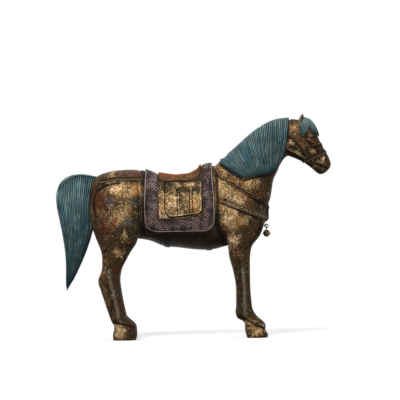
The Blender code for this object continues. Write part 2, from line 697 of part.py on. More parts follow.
# Mane and forelock: shells bedded on the neck and the forehead, the mane on two dowels in the crest.
# Grooves part the mane's main locks.
mane = layer("mane", neck_mesh, rounded(MANE_OUTLINE), GAP, MANE_THICKNESS, blue_pigment)
strips = [prism(strip(path, MANE_GROOVE_WIDTH), -REACH, REACH) for path in MANE_GROOVES]
grooves = helper("mane_grooves", gathered(strips))
groove_floor = GAP + MANE_THICKNESS - MANE_GROOVE_DEPTH
boolean(grooves, "DIFFERENCE", grow(helper("mane_groove_floor", neck_mesh), groove_floor))
boolean(mane, "DIFFERENCE", grooves)
mane.modifiers[-1].solver = "MANIFOLD"
layer("forelock", head_mesh, rounded(FORELOCK_OUTLINE), GAP, FORELOCK_THICKNESS, blue_pigment)
for place, start in {"rear": NECK[2], "front": NECK[4]}.items():
    section = moved(start, MANE_DOWEL_STEP)
    crest = Vector((section.x1, 0, section.z1))
    out = (crest - Vector((section.x2, 0, section.z2))).normalized()
    dowel_top = out * MANE_DOWEL_BITE
    dowel_foot = dowel_top - out * MANE_DOWEL_LENGTH
    hole = (MANE_DOWEL_DIAMETER / 2 + GAP, crest + dowel_foot - out * BITE, crest + dowel_top + out * GAP)
    boolean(neck, "DIFFERENCE", cylinder(*hole))
    boolean(mane, "DIFFERENCE", cylinder(*hole))
    part(f"mane_dowel_{place}", cylinder(MANE_DOWEL_DIAMETER / 2, dowel_foot, dowel_top), pin_metal, crest)

# Saddle: pad, blanket, border, flaps and seat lie on each other, and two studs draw the seat down
pad_level = GAP
blanket_level = pad_level + PAD_THICKNESS + GAP
top_level = blanket_level + BLANKET_THICKNESS + GAP
pad = layer("sweat_pad", skin_mesh, rounded(PAD_OUTLINE), pad_level, PAD_THICKNESS, brown_bronze)
blanket = layer(
    "saddle_blanket", skin_mesh, rounded(BLANKET_OUTLINE), blanket_level, BLANKET_THICKNESS, gold_leaf
)
border = layer(
    "blanket_border", skin_mesh, rounded(BLANKET_OUTLINE), top_level, BORDER_THICKNESS, plum_lacquer
)
boolean(border, "DIFFERENCE", prism(rounded(BORDER_WINDOW), -REACH, REACH))
for side_name, half in HALVES.items():
    name = f"saddle_flap_{side_name}"
    layer(name, skin_mesh, rounded(FLAP_OUTLINE), top_level, FLAP_THICKNESS, gold_leaf, *half)
seat = part("saddle_seat", prism(rounded(SEAT_OUTLINE), -SEAT_HALF_WIDTH, SEAT_HALF_WIDTH), red_lacquer)
boolean(seat, "DIFFERENCE", grow(helper("saddle_seat_under", skin_mesh), top_level))

for place, x in SADDLE_STUD_X.items():
    back_z = torso_height(x, "z1")
    back = Vector((x, 0, back_z))
    stud_top = Vector((0, 0, top_level + STUD_BITE))
    nut_top = Vector((0, 0, -WALL - NUT_SEAT))
    nut_foot = nut_top - Vector((0, 0, NUT_HEIGHT))
    stud_foot = nut_foot - Vector((0, 0, STUD_END))
    part(f"saddle_stud_{place}", cylinder(STUD_DIAMETER / 2, stud_foot, stud_top), pin_metal, back)
    nut = part(f"saddle_nut_{place}", cylinder(NUT_ACROSS / 2, nut_foot, nut_top, NUT_SIDES), pin_metal, back)
    hole = (STUD_DIAMETER / 2 + GAP, back + stud_foot, back + stud_top + Vector((0, 0, GAP)))
    for drilled in (barrel, pad, blanket, seat, nut):
        boolean(drilled, "DIFFERENCE", cylinder(*hole))

# Belly plug: closes the hole that the casting core came out of and the nuts went in by
belly = Vector((BELLY_PLUG_X, 0, torso_height(BELLY_PLUG_X, "z2")))
plug_foot = Vector((0, 0, BELLY_PLUG_RECESS))
plug_top = plug_foot + Vector((0, 0, BELLY_PLUG_THICKNESS))
part("belly_plug", cylinder(BELLY_PLUG_DIAMETER / 2, plug_foot, plug_top, PLUG_SIDES), brown_bronze, belly)
run_out = Vector((0, 0, RUN_OUT))
hole = cylinder(BELLY_PLUG_DIAMETER / 2 + GAP, belly - run_out, belly + run_out, PLUG_SIDES)
boolean(barrel, "DIFFERENCE", hole)

# Girths and harness straps: thin bands soldered to the barrel
for name, x in GIRTH_X.items():
    band = strip([(x, GIRTH_FOOT_Z), (x, GIRTH_TOP_Z)], GIRTH_WIDTH)
    layer(name, skin_mesh, band, GAP, GIRTH_THICKNESS, brown_bronze)
breast_straps = {
    "breast_strap_upper": strip(UPPER_STRAP_PATH, UPPER_STRAP_WIDTH),
    "breast_strap_lower": strip(LOWER_STRAP_PATH, LOWER_STRAP_WIDTH),
}
for name, outline in breast_straps.items():
    layer(name, skin_mesh, outline, GAP, STRAP_THICKNESS, gold_leaf)
pendant_level = GAP + STRAP_THICKNESS + GAP
pendant_front_x = PENDANT_INNER_X + REACH
pendant_outline = [
    (PENDANT_INNER_X, PENDANT_FOOT_Z), (pendant_front_x, PENDANT_FOOT_Z),
    (pendant_front_x, PENDANT_TOP_Z), (PENDANT_INNER_X, PENDANT_TOP_Z),
]
layer(
    "breast_pendant", skin_mesh, pendant_outline, pendant_level, STRAP_THICKNESS, red_lacquer,
    -PENDANT_WIDTH / 2, PENDANT_WIDTH / 2,
)
for side_name, half in HALVES.items():
    name = f"crupper_strap_{side_name}"
    layer(name, skin_mesh, strip(CRUPPER_PATH, CRUPPER_WIDTH), GAP, STRAP_THICKNESS, gold_leaf, *half)

# Bridle: bands soldered to the head
for name, path in {"noseband": NOSEBAND_PATH, "face_band": FACE_BAND_PATH}.items():
    layer(name, head_mesh, strip(path, BRIDLE_WIDTH), GAP, BRIDLE_THICKNESS, red_lacquer)
layer("headstall_crown", head_mesh, strip(CROWN_PATH, CROWN_WIDTH), GAP, BRIDLE_THICKNESS, gold_leaf)
cheek_outline = strip(CHEEK_STRAP_PATH, BRIDLE_WIDTH)
for side_name, half in HALVES.items():
    layer(f"cheek_strap_{side_name}", head_mesh, cheek_outline, GAP, BRIDLE_THICKNESS, red_lacquer, *half)

# Bell: a staple in the chest carries a link that swings fore and aft, and the bell swings sideways on it
bar = Vector((TORSO[-1].x1 - STAPLE_SETBACK, 0, STAPLE_Z))
half_bar = Vector((0, STAPLE_HALF_WIDTH, 0))
bar_end = half_bar + Vector((0, STAPLE_BAR_OVERHANG, 0))
inwards = Vector((-STAPLE_LENGTH, 0, 0))
staple = part("bell_staple", cylinder(STAPLE_WIRE_RADIUS, -bar_end, bar_end, WIRE_SIDES), gilt_bronze, bar)
for leg_top in (bar - half_bar, bar + half_bar):
    leg_tip = leg_top + inwards
    boolean(staple, "UNION", cylinder(STAPLE_WIRE_RADIUS, leg_top, leg_tip, WIRE_SIDES))
    hole = (STAPLE_WIRE_RADIUS + GAP, leg_top, leg_tip - Vector((GAP, 0, 0)), WIRE_SIDES)
    boolean(barrel, "DIFFERENCE", cylinder(*hole))

upright = Matrix.Rotation(math.pi / 2, 4, "X")
link_drop = LINK_RADIUS - LINK_WIRE_RADIUS - STAPLE_WIRE_RADIUS - WIRE_PLAY
link_centre = Matrix.Translation((0, 0, -link_drop))
part("bell_link", wire_ring(LINK_RADIUS, LINK_WIRE_RADIUS, link_centre @ upright), gilt_bronze, bar)

pivot = bar - Vector((0, 0, link_drop + LINK_RADIUS))
eye_drop = EYE_RADIUS - EYE_WIRE_RADIUS - LINK_WIRE_RADIUS - WIRE_PLAY
crosswise = Matrix.Translation((0, 0, -eye_drop)) @ Matrix.Rotation(math.pi / 2, 4, "Y")
bell = part("bell", wire_ring(EYE_RADIUS, EYE_WIRE_RADIUS, crosswise), gold_leaf, pivot)
bell_centre = pivot - Vector((0, 0, eye_drop + EYE_RADIUS + EYE_WIRE_RADIUS + BELL_RADIUS - BELL_NECK_SINK))
ball = bmesh.new()
bmesh.ops.create_uvsphere(
    ball, u_segments=16, v_segments=9, radius=BELL_RADIUS, matrix=Matrix.Translation(bell_centre)
)
boolean(bell, "UNION", ball)
slit_half = Vector((BELL_RADIUS * 2, BELL_SLIT_WIDTH / 2, BELL_SLIT_DEPTH))
slit_at = bell_centre - Vector((0, 0, BELL_RADIUS))
boolean(bell, "DIFFERENCE", box(slit_at - slit_half, slit_at + slit_half))
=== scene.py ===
"""The bronze horse statuette dressed on its frame: castings, hair, saddlery, bridle and bell.

+X points to the nose, +Y to the horse's left side and +Z up. Shapes are drawn in millimetres, and a finished
piece is in metres. A place in the side view is given as x and z.
"""

import math
from collections import namedtuple

import bmesh
import bpy
from mathutils import Matrix, Vector
from mathutils.bvhtree import BVHTree
from mathutils.kdtree import KDTree


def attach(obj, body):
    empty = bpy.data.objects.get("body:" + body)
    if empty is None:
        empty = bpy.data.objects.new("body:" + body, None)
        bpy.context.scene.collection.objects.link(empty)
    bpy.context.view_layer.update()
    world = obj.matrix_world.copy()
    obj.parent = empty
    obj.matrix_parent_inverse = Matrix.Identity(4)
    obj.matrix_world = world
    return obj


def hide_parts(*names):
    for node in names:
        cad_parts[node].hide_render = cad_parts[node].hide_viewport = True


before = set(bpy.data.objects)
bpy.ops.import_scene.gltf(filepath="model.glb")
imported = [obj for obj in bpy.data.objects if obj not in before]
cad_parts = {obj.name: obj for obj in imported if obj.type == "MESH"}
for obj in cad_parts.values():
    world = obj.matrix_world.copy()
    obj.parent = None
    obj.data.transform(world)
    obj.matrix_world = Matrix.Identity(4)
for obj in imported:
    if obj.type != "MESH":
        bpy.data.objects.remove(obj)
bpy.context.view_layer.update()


# Castings: barrel, neck, head and legs. Each is cast in bronze, the barrel and the neck hollow, and they are
# pinned together. The seams were filled and chased, so they read as one skin. It is drawn through sections,
# blended, carved as with a modelling tool, and then cut at the joints.
MM = 0.001
PAST_SIDE = 75.0
FAR_ASIDE = 150.0
FAR_ABOVE = 450.0
SIDES = {"right": -1, "left": 1}
WELD = 0.001
SKIN_GRAIN = 1.0
SKIN_BLENDING = 9
LOFT_SIDES = 48
LOFT_STEPS = 5
SOLE_HEIGHT = 0.45
FORELEG_Y = 20.0
HINDLEG_Y = 22.0
FORELEG_JOINT_Z = 118.0
HINDLEG_JOINT_Z = 124.0

# A section is two points on the side outline, a half width, where between the second point (0) and the first
# (1) it is widest, and a shift towards +Y.
Section = namedtuple("Section", "x1 z1 x2 z2 half_width widest shift", defaults=(0.5, 0))


def upright(x, top, foot, half_width, widest=0.5):
    """A section that stands upright, as the barrel's do."""
    return Section(x, top, x, foot, half_width, widest)


def level(z, front, back, half_width, shift=0):
    """A section that lies level, as the legs' do."""
    return Section(front, z, back, z, half_width, 0.5, shift)


TORSO = [upright(*row) for row in [
    (-134.5, 192, 176, 5), (-131, 206, 164, 17), (-123, 213.5, 151, 27), (-108, 218.5, 141, 34, 0.55),
    (-90, 220.3, 133, 37.5, 0.55), (-72, 219.8, 130.5, 38), (-57, 215.3, 127.5, 38),
    (-40, 207.8, 120.5, 39.5), (-20, 204.4, 118, 41, 0.48), (-4, 207.2, 115.7, 40.5, 0.46),
    (5, 213, 114.8, 39.2, 0.43), (13, 221.2, 114.2, 38, 0.41), (26, 223.4, 115, 35, 0.4),
    (42, 215.5, 119, 31.5, 0.43), (60, 203.5, 121, 28.5, 0.47), (77, 191.5, 125, 25),
    (88.5, 182, 138.5, 18), (94.3, 172, 150, 8),
]]
NECK_ROOT = [Section(22, 200, 86, 150, 18), Section(25, 212, 95, 167, 24.6)]
NECK = [Section(*row) for row in [
    (31, 225, 100, 180, 25, 0.42), (44.5, 234, 102.5, 193, 22.5, 0.42),
    (59, 246, 104.5, 203.5, 20.5, 0.42), (75, 260, 109.3, 213.4, 18.5, 0.42),
    (91.5, 271.8, 113.3, 222.2, 16.7, 0.45), (107, 278.8, 118, 229.6, 15.2, 0.48),
    (121, 281, 123, 234, 14.2),
]]
HEAD = [Section(*row) for row in [
    (136, 281.4, 128.4, 232.6, 15.2), (150.3, 279.6, 137, 229, 15.8, 0.52),
    (160, 267, 144.4, 225.2, 14.8, 0.6), (164.9, 255.2, 150.6, 220.6, 12.2, 0.62),
    (170, 244.8, 156.3, 215.9, 10.3), (175.7, 234.5, 160.8, 211.7, 9.4),
    (178.9, 226.5, 165.2, 209.4, 9, 0.45), (179.4, 221, 169.8, 210.4, 6.6),
    (178.2, 217.6, 173.5, 212.6, 3),
]]
FORELEG = [level(*row) for row in [
    (190, 75, 46, 7, -10), (181, 84, 38, 12.5, -4.5), (167, 87.5, 36, 15.5, -1.5), (146, 90.5, 37, 15),
    (131, 84.6, 41, 13), (FORELEG_JOINT_Z, 74.5, 43.8, 11.6), (105, 72, 45, 10.6), (87, 71.6, 49.6, 9.8),
    (66, 71.5, 53, 8.2), (48, 72.6, 53, 7.9), (39, 73.6, 52.8, 8.6), (31, 76.8, 51.8, 9.2),
    (25.5, 81, 54, 8.8), (21.5, 86, 61, 9.2), (16.5, 90.6, 63.5, 10.6), (10, 89.6, 63.8, 11.4),
    (4, 93.2, 64.6, 12.2), (0, 92.8, 66, 11.6),
]]
HINDLEG = [level(*row) for row in [
    (205, -74, -124, 8, -8), (190, -67, -129, 13.5, -2.5), (170, -64, -134, 16.5),
    (148, -64.5, -132, 16.5), (131, -72, -126.5, 14.5), (HINDLEG_JOINT_Z, -75.6, -123.8, 13.2),
    (112, -83.8, -120, 11.4), (102, -89.4, -119.6, 10.4), (91, -95, -120.4, 9.8),
    (77, -97.4, -125.2, 9.8), (64, -96.2, -121.8, 8.8), (49, -93.8, -117.2, 8), (38, -91.6, -113.8, 8.2),
    (30, -89.6, -111.2, 9), (24, -83.4, -109, 8.8), (18.5, -78, -105.8, 10.2),
    (11.5, -76.8, -106.8, 11.4), (4, -76.6, -107.8, 12.4), (0, -77.4, -107, 11.8),
]]


def eased(sections, steps=LOFT_STEPS):
    """The sections with more between them, on a smooth curve through them all."""
    rows = [Vector(section) for section in sections]
    spans = [(after - before).length for before, after in zip(rows, rows[1:])]
    chords = [(after - before) / span for before, after, span in zip(rows, rows[1:], spans)]
    slopes = [chords[0]]
    for i in range(1, len(chords)):
        slopes.append((chords[i - 1] * spans[i] + chords[i] * spans[i - 1]) / (spans[i - 1] + spans[i]))
    slopes.append(chords[-1])
    smooth = []
    for i, span in enumerate(spans):
        for t in (step / steps for step in range(steps)):
            row = rows[i] * (1 + 2 * t) * (1 - t) ** 2 + rows[i + 1] * t**2 * (3 - 2 * t)
            row += slopes[i] * span * t * (1 - t) ** 2 - slopes[i + 1] * span * t**2 * (1 - t)
            smooth.append(Section(*row))
    return [*smooth, sections[-1]]


def rim_point(section, angle):
    """The point of a section's rim at an angle from its first outline point."""
    first, second = Vector((section.x1, 0, section.z1)), Vector((section.x2, 0, section.z2))
    widest = second.lerp(first, section.widest)
    point = widest.lerp(first if math.cos(angle) > 0 else second, abs(math.cos(angle)))
    point.y = section.shift + section.half_width * math.sin(angle)
    return point


def turns(count):
    """Evenly spaced angles round a circle."""
    return [2 * math.pi * i / count for i in range(count)]


def rolled(rings, crowns=None):
    """A closed skin through rings of points: a grid rolled up, welded along its seam and closed at its ends.

    Each line along it may have a crown value, which its material reads: 1 on a ridge and -1 in a groove.
    """
    bm = bmesh.new()
    crown = bm.verts.layers.float.new("crown")
    sides = len(rings[0])
    bmesh.ops.create_grid(bm, x_segments=sides, y_segments=len(rings) - 1, size=1)
    for i, vert in enumerate(bm.verts):
        row, column = divmod(i, sides + 1)
        vert.co = rings[row][column % sides]
        vert[crown] = crowns[column % sides] if crowns else 0
    bmesh.ops.remove_doubles(bm, verts=bm.verts, dist=WELD)
    bmesh.ops.holes_fill(bm, edges=bm.edges, sides=0)
    bmesh.ops.recalc_face_normals(bm, faces=bm.faces)
    return bm


def lofted(sections, sides=LOFT_SIDES):
    """A closed skin through sections."""
    return rolled([[rim_point(section, angle) for angle in turns(sides)] for section in sections])


def gathered(shapes):
    """Several shapes in one."""
    bm = bmesh.new()
    for shape in shapes:
        mesh = bpy.data.meshes.new("lump")
        shape.to_mesh(mesh)
        shape.free()
        bm.from_mesh(mesh)
        bpy.data.meshes.remove(mesh)
    return bm


def stand_in(shape):
    """A passing object, for modifiers to work on."""
    mesh = bpy.data.meshes.new("stand_in")
    shape.to_mesh(mesh)
    obj = bpy.data.objects.new("stand_in", mesh)
    bpy.context.scene.collection.objects.link(obj)
    return obj


def settled(*objs):
    """The shape that the first object's modifiers leave. All of the objects are removed."""
    bm = bmesh.new()
    bm.from_object(objs[0], bpy.context.evaluated_depsgraph_get())
    for obj in objs:
        bpy.data.objects.remove(obj)
    return bm


def skinned(shape):
    """One even skin over lumps that run into each other."""
    obj = stand_in(shape)
    voxels = obj.modifiers.new("voxels", "REMESH")
    voxels.mode = "VOXEL"
    voxels.voxel_size = SKIN_GRAIN
    smooth = obj.modifiers.new("blending", "SMOOTH")
    smooth.iterations = SKIN_BLENDING
    return settled(obj)


def leg(sections, y, side):
    return lofted(eased([section._replace(shift=side * (y + section.shift)) for section in sections]))


lumps = [lofted(eased(TORSO)), lofted(eased([*NECK_ROOT, *NECK, *HEAD]))]
for side in SIDES.values():
    lumps += [leg(FORELEG, FORELEG_Y, side), leg(HINDLEG, HINDLEG_Y, side)]
castings = skinned(gathered(lumps))
casting_crown = castings.verts.layers.float.new("crown")
for vert in castings.verts:
    if vert.co.z < SOLE_HEIGHT:
        vert.co.z = 0

FACE_START_X = 127.0
FACE_EASING = 0.6
face_edges = [edge for edge in castings.edges if min(vert.co.x for vert in edge.verts) > FACE_START_X]
bmesh.ops.subdivide_edges(castings, edges=face_edges, cuts=1, use_grid_fill=True, smooth=FACE_EASING)
castings.normal_update()
castings.verts.ensure_lookup_table()
castings_tree = BVHTree.FromBMesh(castings)
castings_map = KDTree(len(castings.verts))
for i, vert in enumerate(castings.verts):
    castings_map.insert(vert.co, i)
castings_map.balance()


def landed(tree, place, side):
    """Where a place in the side view lies on a skin, seen from one side, and the skin's normal there."""
    x, z = place
    point, normal, _, _ = tree.ray_cast(Vector((x, side * FAR_ASIDE, z)), Vector((0, -side, 0)))
    if point is None:
        point, normal, _, _ = tree.ray_cast(Vector((x, 0, FAR_ABOVE)), Vector((0, 0, -1)))
    return point, normal


def stepped(path, step):
    """Points along a path of straight runs, a step apart."""
    points = [Vector(path[0])]
    for start, end in zip(path, path[1:]):
        start, end = Vector(start), Vector(end)
        count = max(1, math.ceil((end - start).length / step))
        points += [start.lerp(end, (k + 1) / count) for k in range(count)]
    return points


def carve(path, radius, depth, crown=-0.8):
    """Presses a groove into both sides of the castings along a side-view path. Negative depths are ridges."""
    pressed = {}
    for side in SIDES.values():
        for place in stepped(path, radius / 3):
            spot, _ = landed(castings_tree, place, side)
            for _, index, distance in castings_map.find_range(spot, radius):
                share = (1 + math.cos(math.pi * distance / radius)) / 2
                pressed[index] = max(share, pressed.get(index, 0))
    for index, share in pressed.items():
        vert = castings.verts[index]
        vert.co -= vert.normal * depth * share
        vert[casting_crown] = max(-1, min(1, vert[casting_crown] + crown * share))


# A carved line is a path in the side view, a radius, a depth, and perhaps what it adds to the crown value.
# A crown below zero, -0.8 unless given, paints shade in a crease; the two ridges on the legs get a slight
# painted highlight
BODY_CREASES = [
    ([(-96, 203.5), (-106, 202.5), (-116, 199), (-125, 193), (-128.5, 185), (-129, 174),
     (-127, 160)], 4.5, 1.3),
    ([(-63, 170), (-62, 152), (-66, 139), (-73, 130)], 8, 1.6),
    ([(30, 150), (33, 137), (38, 127), (42, 119)], 8, 1.8),
    ([(84, 176), (88, 160), (87, 146), (82, 134)], 7, 1.2, -0.6),
    ([(57, 178), (46, 170), (41, 158)], 9, 1.0, 0),
    ([(57, 104), (58.5, 84), (59.5, 62), (60, 47)], 3.2, 0.9, -0.5),
    ([(-112, 96), (-114.5, 82), (-112, 66), (-107.5, 48), (-104.5, 38)], 3.2, 1.0, -0.5),
    ([(-98, 104), (-103, 92), (-105, 80)], 5, 0.8, -0.4),
    ([(58, 27.5), (66, 23), (74, 18.5), (82, 15), (90, 11)], 2.6, 1.2),
    ([(-107, 22.5), (-98, 21.5), (-88, 20), (-78, 16.5)], 2.6, 1.2),
    ([(62, 74), (62, 84)], 8, -0.9, 0.2),
    ([(-110, 72), (-111, 82)], 7, -0.9, 0.2),
]
# Lines beside the straps, the saddle cloths and the mane: grooves whose low crown values paint shade along
# the edges of those parts
SHADE_GROOVES = [
    ([(33.2, 176), (57, 165.4), (81.5, 154.6)], 2.2, 0.7),
    ([(29.5, 211.6), (56, 194), (83, 175.2)], 2.0, 0.6),
    ([(30.4, 214), (31.4, 180), (30.6, 152)], 4, 0.8),
    ([(-58, 134.2), (-30, 132.6), (18, 132.6)], 5, 0.3, -0.6),
    ([(36, 224), (51, 212.4), (66, 203.6), (82, 207.2), (97.5, 209), (107, 216.6)], 2.4, 0.6),
    ([(-71, 212), (-71.6, 180), (-70.4, 150)], 3, 0.5, -0.5),
]
for line in [*BODY_CREASES, *SHADE_GROOVES]:
    carve(*line)

# The hollow between the breast muscles, where the bell hangs
BREAST_HOLLOW = Vector((89, 0, 141))
BREAST_HOLLOW_RADIUS = 15.0
BREAST_HOLLOW_DEPTH = 2.1
for vert in castings.verts:
    reach = min(1, (vert.co - BREAST_HOLLOW).length / BREAST_HOLLOW_RADIUS)
    vert.co.x -= BREAST_HOLLOW_DEPTH * (1 + math.cos(math.pi * reach)) / 2

# Jaw, cheek, mouth, nostril and the hollow over the eye. Crown values above zero paint a highlight along the
# jaw edge, on the muzzle, the lips, the nostril rim and the brow; those below zero paint shade in the hollows
FACE_FORMS = [
    ([(121.6, 243.6), (131, 239.2), (140, 234.4), (150, 228.4)], 2.6, -0.9, 0.7),
    ([(123, 239.6), (133, 234.4), (143, 228.2), (153, 220.4)], 4.2, 1.6, -0.9),
    ([(124, 248), (131, 244.4), (139, 239.4)], 3.0, 0.8, -0.5),
    ([(135, 249), (140, 245)], 11, -1.2, 0),
    ([(159.5, 222.6), (164, 221.4), (169, 219.4), (174, 216.8)], 1.8, 1.5),
    ([(162, 226.5), (168, 225)], 5, -0.6, 0.5),
    ([(160.5, 219), (167, 215.5), (172, 213.5)], 2.6, -0.7, 0.3),
    ([(172.4, 229.2), (173.6, 226.6)], 3.0, -0.9, 0.2),
    ([(172.2, 229), (173.8, 227)], 1.7, 2.2, -1.2),
    ([(150, 251.5), (157, 247), (163, 238)], 4, 0.7),
    ([(149, 266), (153.7, 266.6), (158, 263)], 2.8, -1.2, 0.5),
    ([(148.5, 259), (153.7, 260), (158.5, 258.5)], 4.2, 1.0, -1),
]
for form in FACE_FORMS:
    carve(*form)

EYE_PLACE = (153.9, 259.8)
EYE_RADIUS = 3.3
EYE_LENGTH = 1.25
EYE_SINK = 0.75
EYE_HIGHLIGHT = 0.45
LID_RADIUS = 0.65
LID_SPREAD = math.radians(72)
LID_STEPS = 7
LID_LENGTH = 1.35
LID_DROP = 0.3
LID_RISE = 0.98
LID_CORNER_DIP = 0.25


def marked(shape, **values):
    """Gives every vertex of a shape the same values, for its material to read."""
    for name, value in values.items():
        layer = shape.verts.layers.float.get(name) or shape.verts.layers.float.new(name)
        for vert in shape.verts:
            vert[layer] = value
    return shape


def swept(path, normals, width, height, profile, closed=False):
    """A bar along a path, upright on the normals. A closed one ends where it starts.

    A point of the profile is its shares of width and height, and its crown value. Width and height may be
    lists, with a size for each point of the path.
    """
    widths = width if isinstance(width, list) else [width] * len(path)
    heights = height if isinstance(height, list) else [height] * len(path)
    rings = []
    for i, (point, normal) in enumerate(zip(path, normals)):
        run = path[min(i + 1, len(path) - 1)] - path[max(i - 1, 0)]
        across = run.cross(normal).normalized() * widths[i]
        up = normal.normalized() * heights[i]
        rings.append([point + across * a + up * b for a, b, _ in profile])
    if closed:
        rings[-1] = rings[0]
    return rolled(rings, [crown for _, _, crown in profile])


def round_profile(sides, low=0, high=0):
    """A round section, with crown values from low on its sides to high on top."""
    points = [(math.cos(angle), math.sin(angle)) for angle in turns(sides)]
    return [(a, b, low + (high - low) * max(0, b)) for a, b in points]


def eye(side):
    """A ball in its socket, with a lid above and one below."""
    spot, normal = landed(castings_tree, EYE_PLACE, side)
    centre = spot - normal * EYE_RADIUS * EYE_SINK
    place = Matrix.Translation(centre) @ Matrix.Diagonal((EYE_LENGTH, 1, 1, 1))
    ball = bmesh.new()
    bmesh.ops.create_uvsphere(ball, u_segments=28, v_segments=16, radius=EYE_RADIUS, matrix=place)
    # The ball's crown value paints a highlight on it; the lids' crowns paint shade on their lower sides
    shapes = [marked(ball, crown=EYE_HIGHLIGHT)]
    arc = [LID_SPREAD * (k / LID_STEPS - 1) for k in range(2 * LID_STEPS + 1)]
    sizes = [LID_RADIUS * (0.45 + 0.55 * math.cos(a)) for a in arc]
    for way in (1, -1):
        lid = []
        for a in arc:
            rim = Vector((math.sin(a) * LID_LENGTH, 0, way * (math.cos(a) - LID_DROP))) * EYE_RADIUS
            rise = LID_RISE - LID_CORNER_DIP * abs(math.sin(a))
            lid.append(centre + rim + normal * EYE_RADIUS * rise)
        shapes.append(swept(lid, [normal] * len(lid), sizes, sizes, round_profile(8, -0.4, 0.3)))
    return gathered(shapes)


class Field:
    """A number or a colour that changes over a surface. Arithmetic on a number adds Math nodes."""

    def __init__(self, nodes, socket):
        self.nodes = nodes
        self.socket = socket

    def worked(self, operation, *values):
        return self.nodes.node("ShaderNodeMath", {"operation": operation}, dict(enumerate(values)))

    def __add__(self, other):
        return self.worked("ADD", self, other)

    def __sub__(self, other):
        return self.worked("SUBTRACT", self, other)

    def __rsub__(self, other):
        return self.worked("SUBTRACT", other, self)

    def __mul__(self, other):
        return self.worked("MULTIPLY", self, other)

    def __abs__(self):
        return self.worked("ABSOLUTE", self)

    __radd__ = __add__
    __rmul__ = __mul__


class Nodes:
    """The nodes of a material or of the world."""

    def __init__(self, tree):
        self.tree = tree

    def node(self, kind, settings=None, sockets=None, output=0):
        """Adds a node: its type, its settings, then its sockets' values or links."""
        made = self.tree.nodes.new(kind)
        for name, value in (settings or {}).items():
            setattr(made, name, value)
        for name, value in (sockets or {}).items():
            self.put(made.inputs[name], value)
        return Field(self, made.outputs[output])

    def put(self, socket, value):
        if isinstance(value, Field):
            self.tree.links.new(value.socket, socket)
        elif isinstance(value, tuple) and len(value) == 3 and socket.type == "RGBA":
            socket.default_value = (*value, 1)
        else:
            socket.default_value = value


STREAK_FADE = 12.0


class Finish(Nodes):
    """A procedural material. Sizes of its patterns are in millimetres."""

    def __init__(self, name):
        self.material = bpy.data.materials.new(name)
        self.material.use_nodes = True
        super().__init__(self.material.node_tree)
        self.shader = self.tree.nodes["Principled BSDF"]
        self.place = self.node("ShaderNodeTexCoord", output="Object")

    def mark(self, name):
        """A value that the vertices carry."""
        return self.node("ShaderNodeAttribute", {"attribute_name": name}, None, "Fac")

    def axis(self, vector, name):
        return self.node("ShaderNodeSeparateXYZ", None, {0: vector}, name)

    def upness(self):
        """1 where the surface faces up, 0 where it is upright and -1 where it faces down."""
        return self.axis(self.node("ShaderNodeNewGeometry", output="Normal"), "Z")

    def above(self, low, high):
        """0 up to one height and 1 from a higher one on."""
        return self.rise(self.axis(self.place, "Z"), low * MM, high * MM)

    def vector(self, operation, first, second, output=0):
        return self.node("ShaderNodeVectorMath", {"operation": operation}, {0: first, 1: second}, output)

    def at(self, offset=(0, 0, 0), scale=(1, 1, 1)):
        """Object coordinates, moved and scaled."""
        sockets = {"Vector": self.place, "Location": offset, "Scale": scale}
        return self.node("ShaderNodeMapping", None, sockets)

    def noise(self, size, detail=2.0, roughness=0.5, vector=None, output="Fac"):
        sockets = {"Vector": vector or self.place, "Scale": 1 / (size * MM)}
        sockets |= {"Detail": detail, "Roughness": roughness}
        return self.node("ShaderNodeTexNoise", None, sockets, output)

    def flakes(self, size, vector, channel):
        """A random number for each flake of a broken surface."""
        cells = self.node("ShaderNodeTexVoronoi", None, {"Vector": vector, "Scale": 1 / (size * MM)}, "Color")
        return self.node("ShaderNodeSeparateColor", None, {"Color": cells}, channel)

    def ragged(self, size, reach):
        """Object coordinates shaken by a noise, so that edges on them are ragged."""
        shake = self.vector("SUBTRACT", self.noise(size, 3, 0.6, output="Color"), (0.5, 0.5, 0.5))
        return self.vector("ADD", self.place, self.vector("MULTIPLY", shake, (reach * MM,) * 3))

    def rise(self, value, low, high):
        """0 below low and 1 above high, with a smooth slope between them."""
        sockets = {"Value": value, "From Min": low, "From Max": high}
        return self.node("ShaderNodeMapRange", {"interpolation_type": "SMOOTHSTEP"}, sockets)

    def mix(self, share, first, second):
        """Colours mixed: the first where the share is 0, the second where it is 1."""
        return self.node("ShaderNodeMix", {"data_type": "RGBA"}, {0: share, 6: first, 7: second}, 2)

    def around(self, spots):
        """1 at each spot in the side view, fading unevenly to 0 at its radius. A spot is x, z and radius."""
        flat = self.vector("MULTIPLY", self.ragged(15, 26), (1, 0, 1))
        total = None
        for x, z, radius in spots:
            distance = self.vector("DISTANCE", flat, (x * MM, 0, z * MM), "Value")
            near = 1 - self.rise(distance, 0, radius * MM)
            total = near.worked("MAXIMUM", total, near) if total else near
        return total

    def streak(self, head, foot, half_width):
        """1 along a line in the side view, from its head to its foot, fading unevenly to 0 at its edges."""
        place = self.ragged(6, 4)
        x, z = self.axis(place, "X"), self.axis(place, "Z")
        lean = (head[0] - foot[0]) / (head[1] - foot[1])
        away = abs(x - z * lean - (foot[0] - foot[1] * lean) * MM)
        low, high, fade = foot[1] * MM, head[1] * MM, STREAK_FADE * MM
        within = self.rise(z, low, low + fade) * (1 - self.rise(z, high - fade, high))
        return (1 - self.rise(away, 0, half_width * MM)) * within

    def bump(self, height, distance):
        sockets = {"Height": height, "Distance": distance * MM, "Strength": 1.0}
        return self.node("ShaderNodeBump", None, sockets)

    def surface(self, **sockets):
        """Sets the shader's own sockets: base_color, roughness, metallic and so on."""
        for name, value in sockets.items():
            self.put(self.shader.inputs[name.replace("_", " ").title().replace("Ior", "IOR")], value)
        return self.material


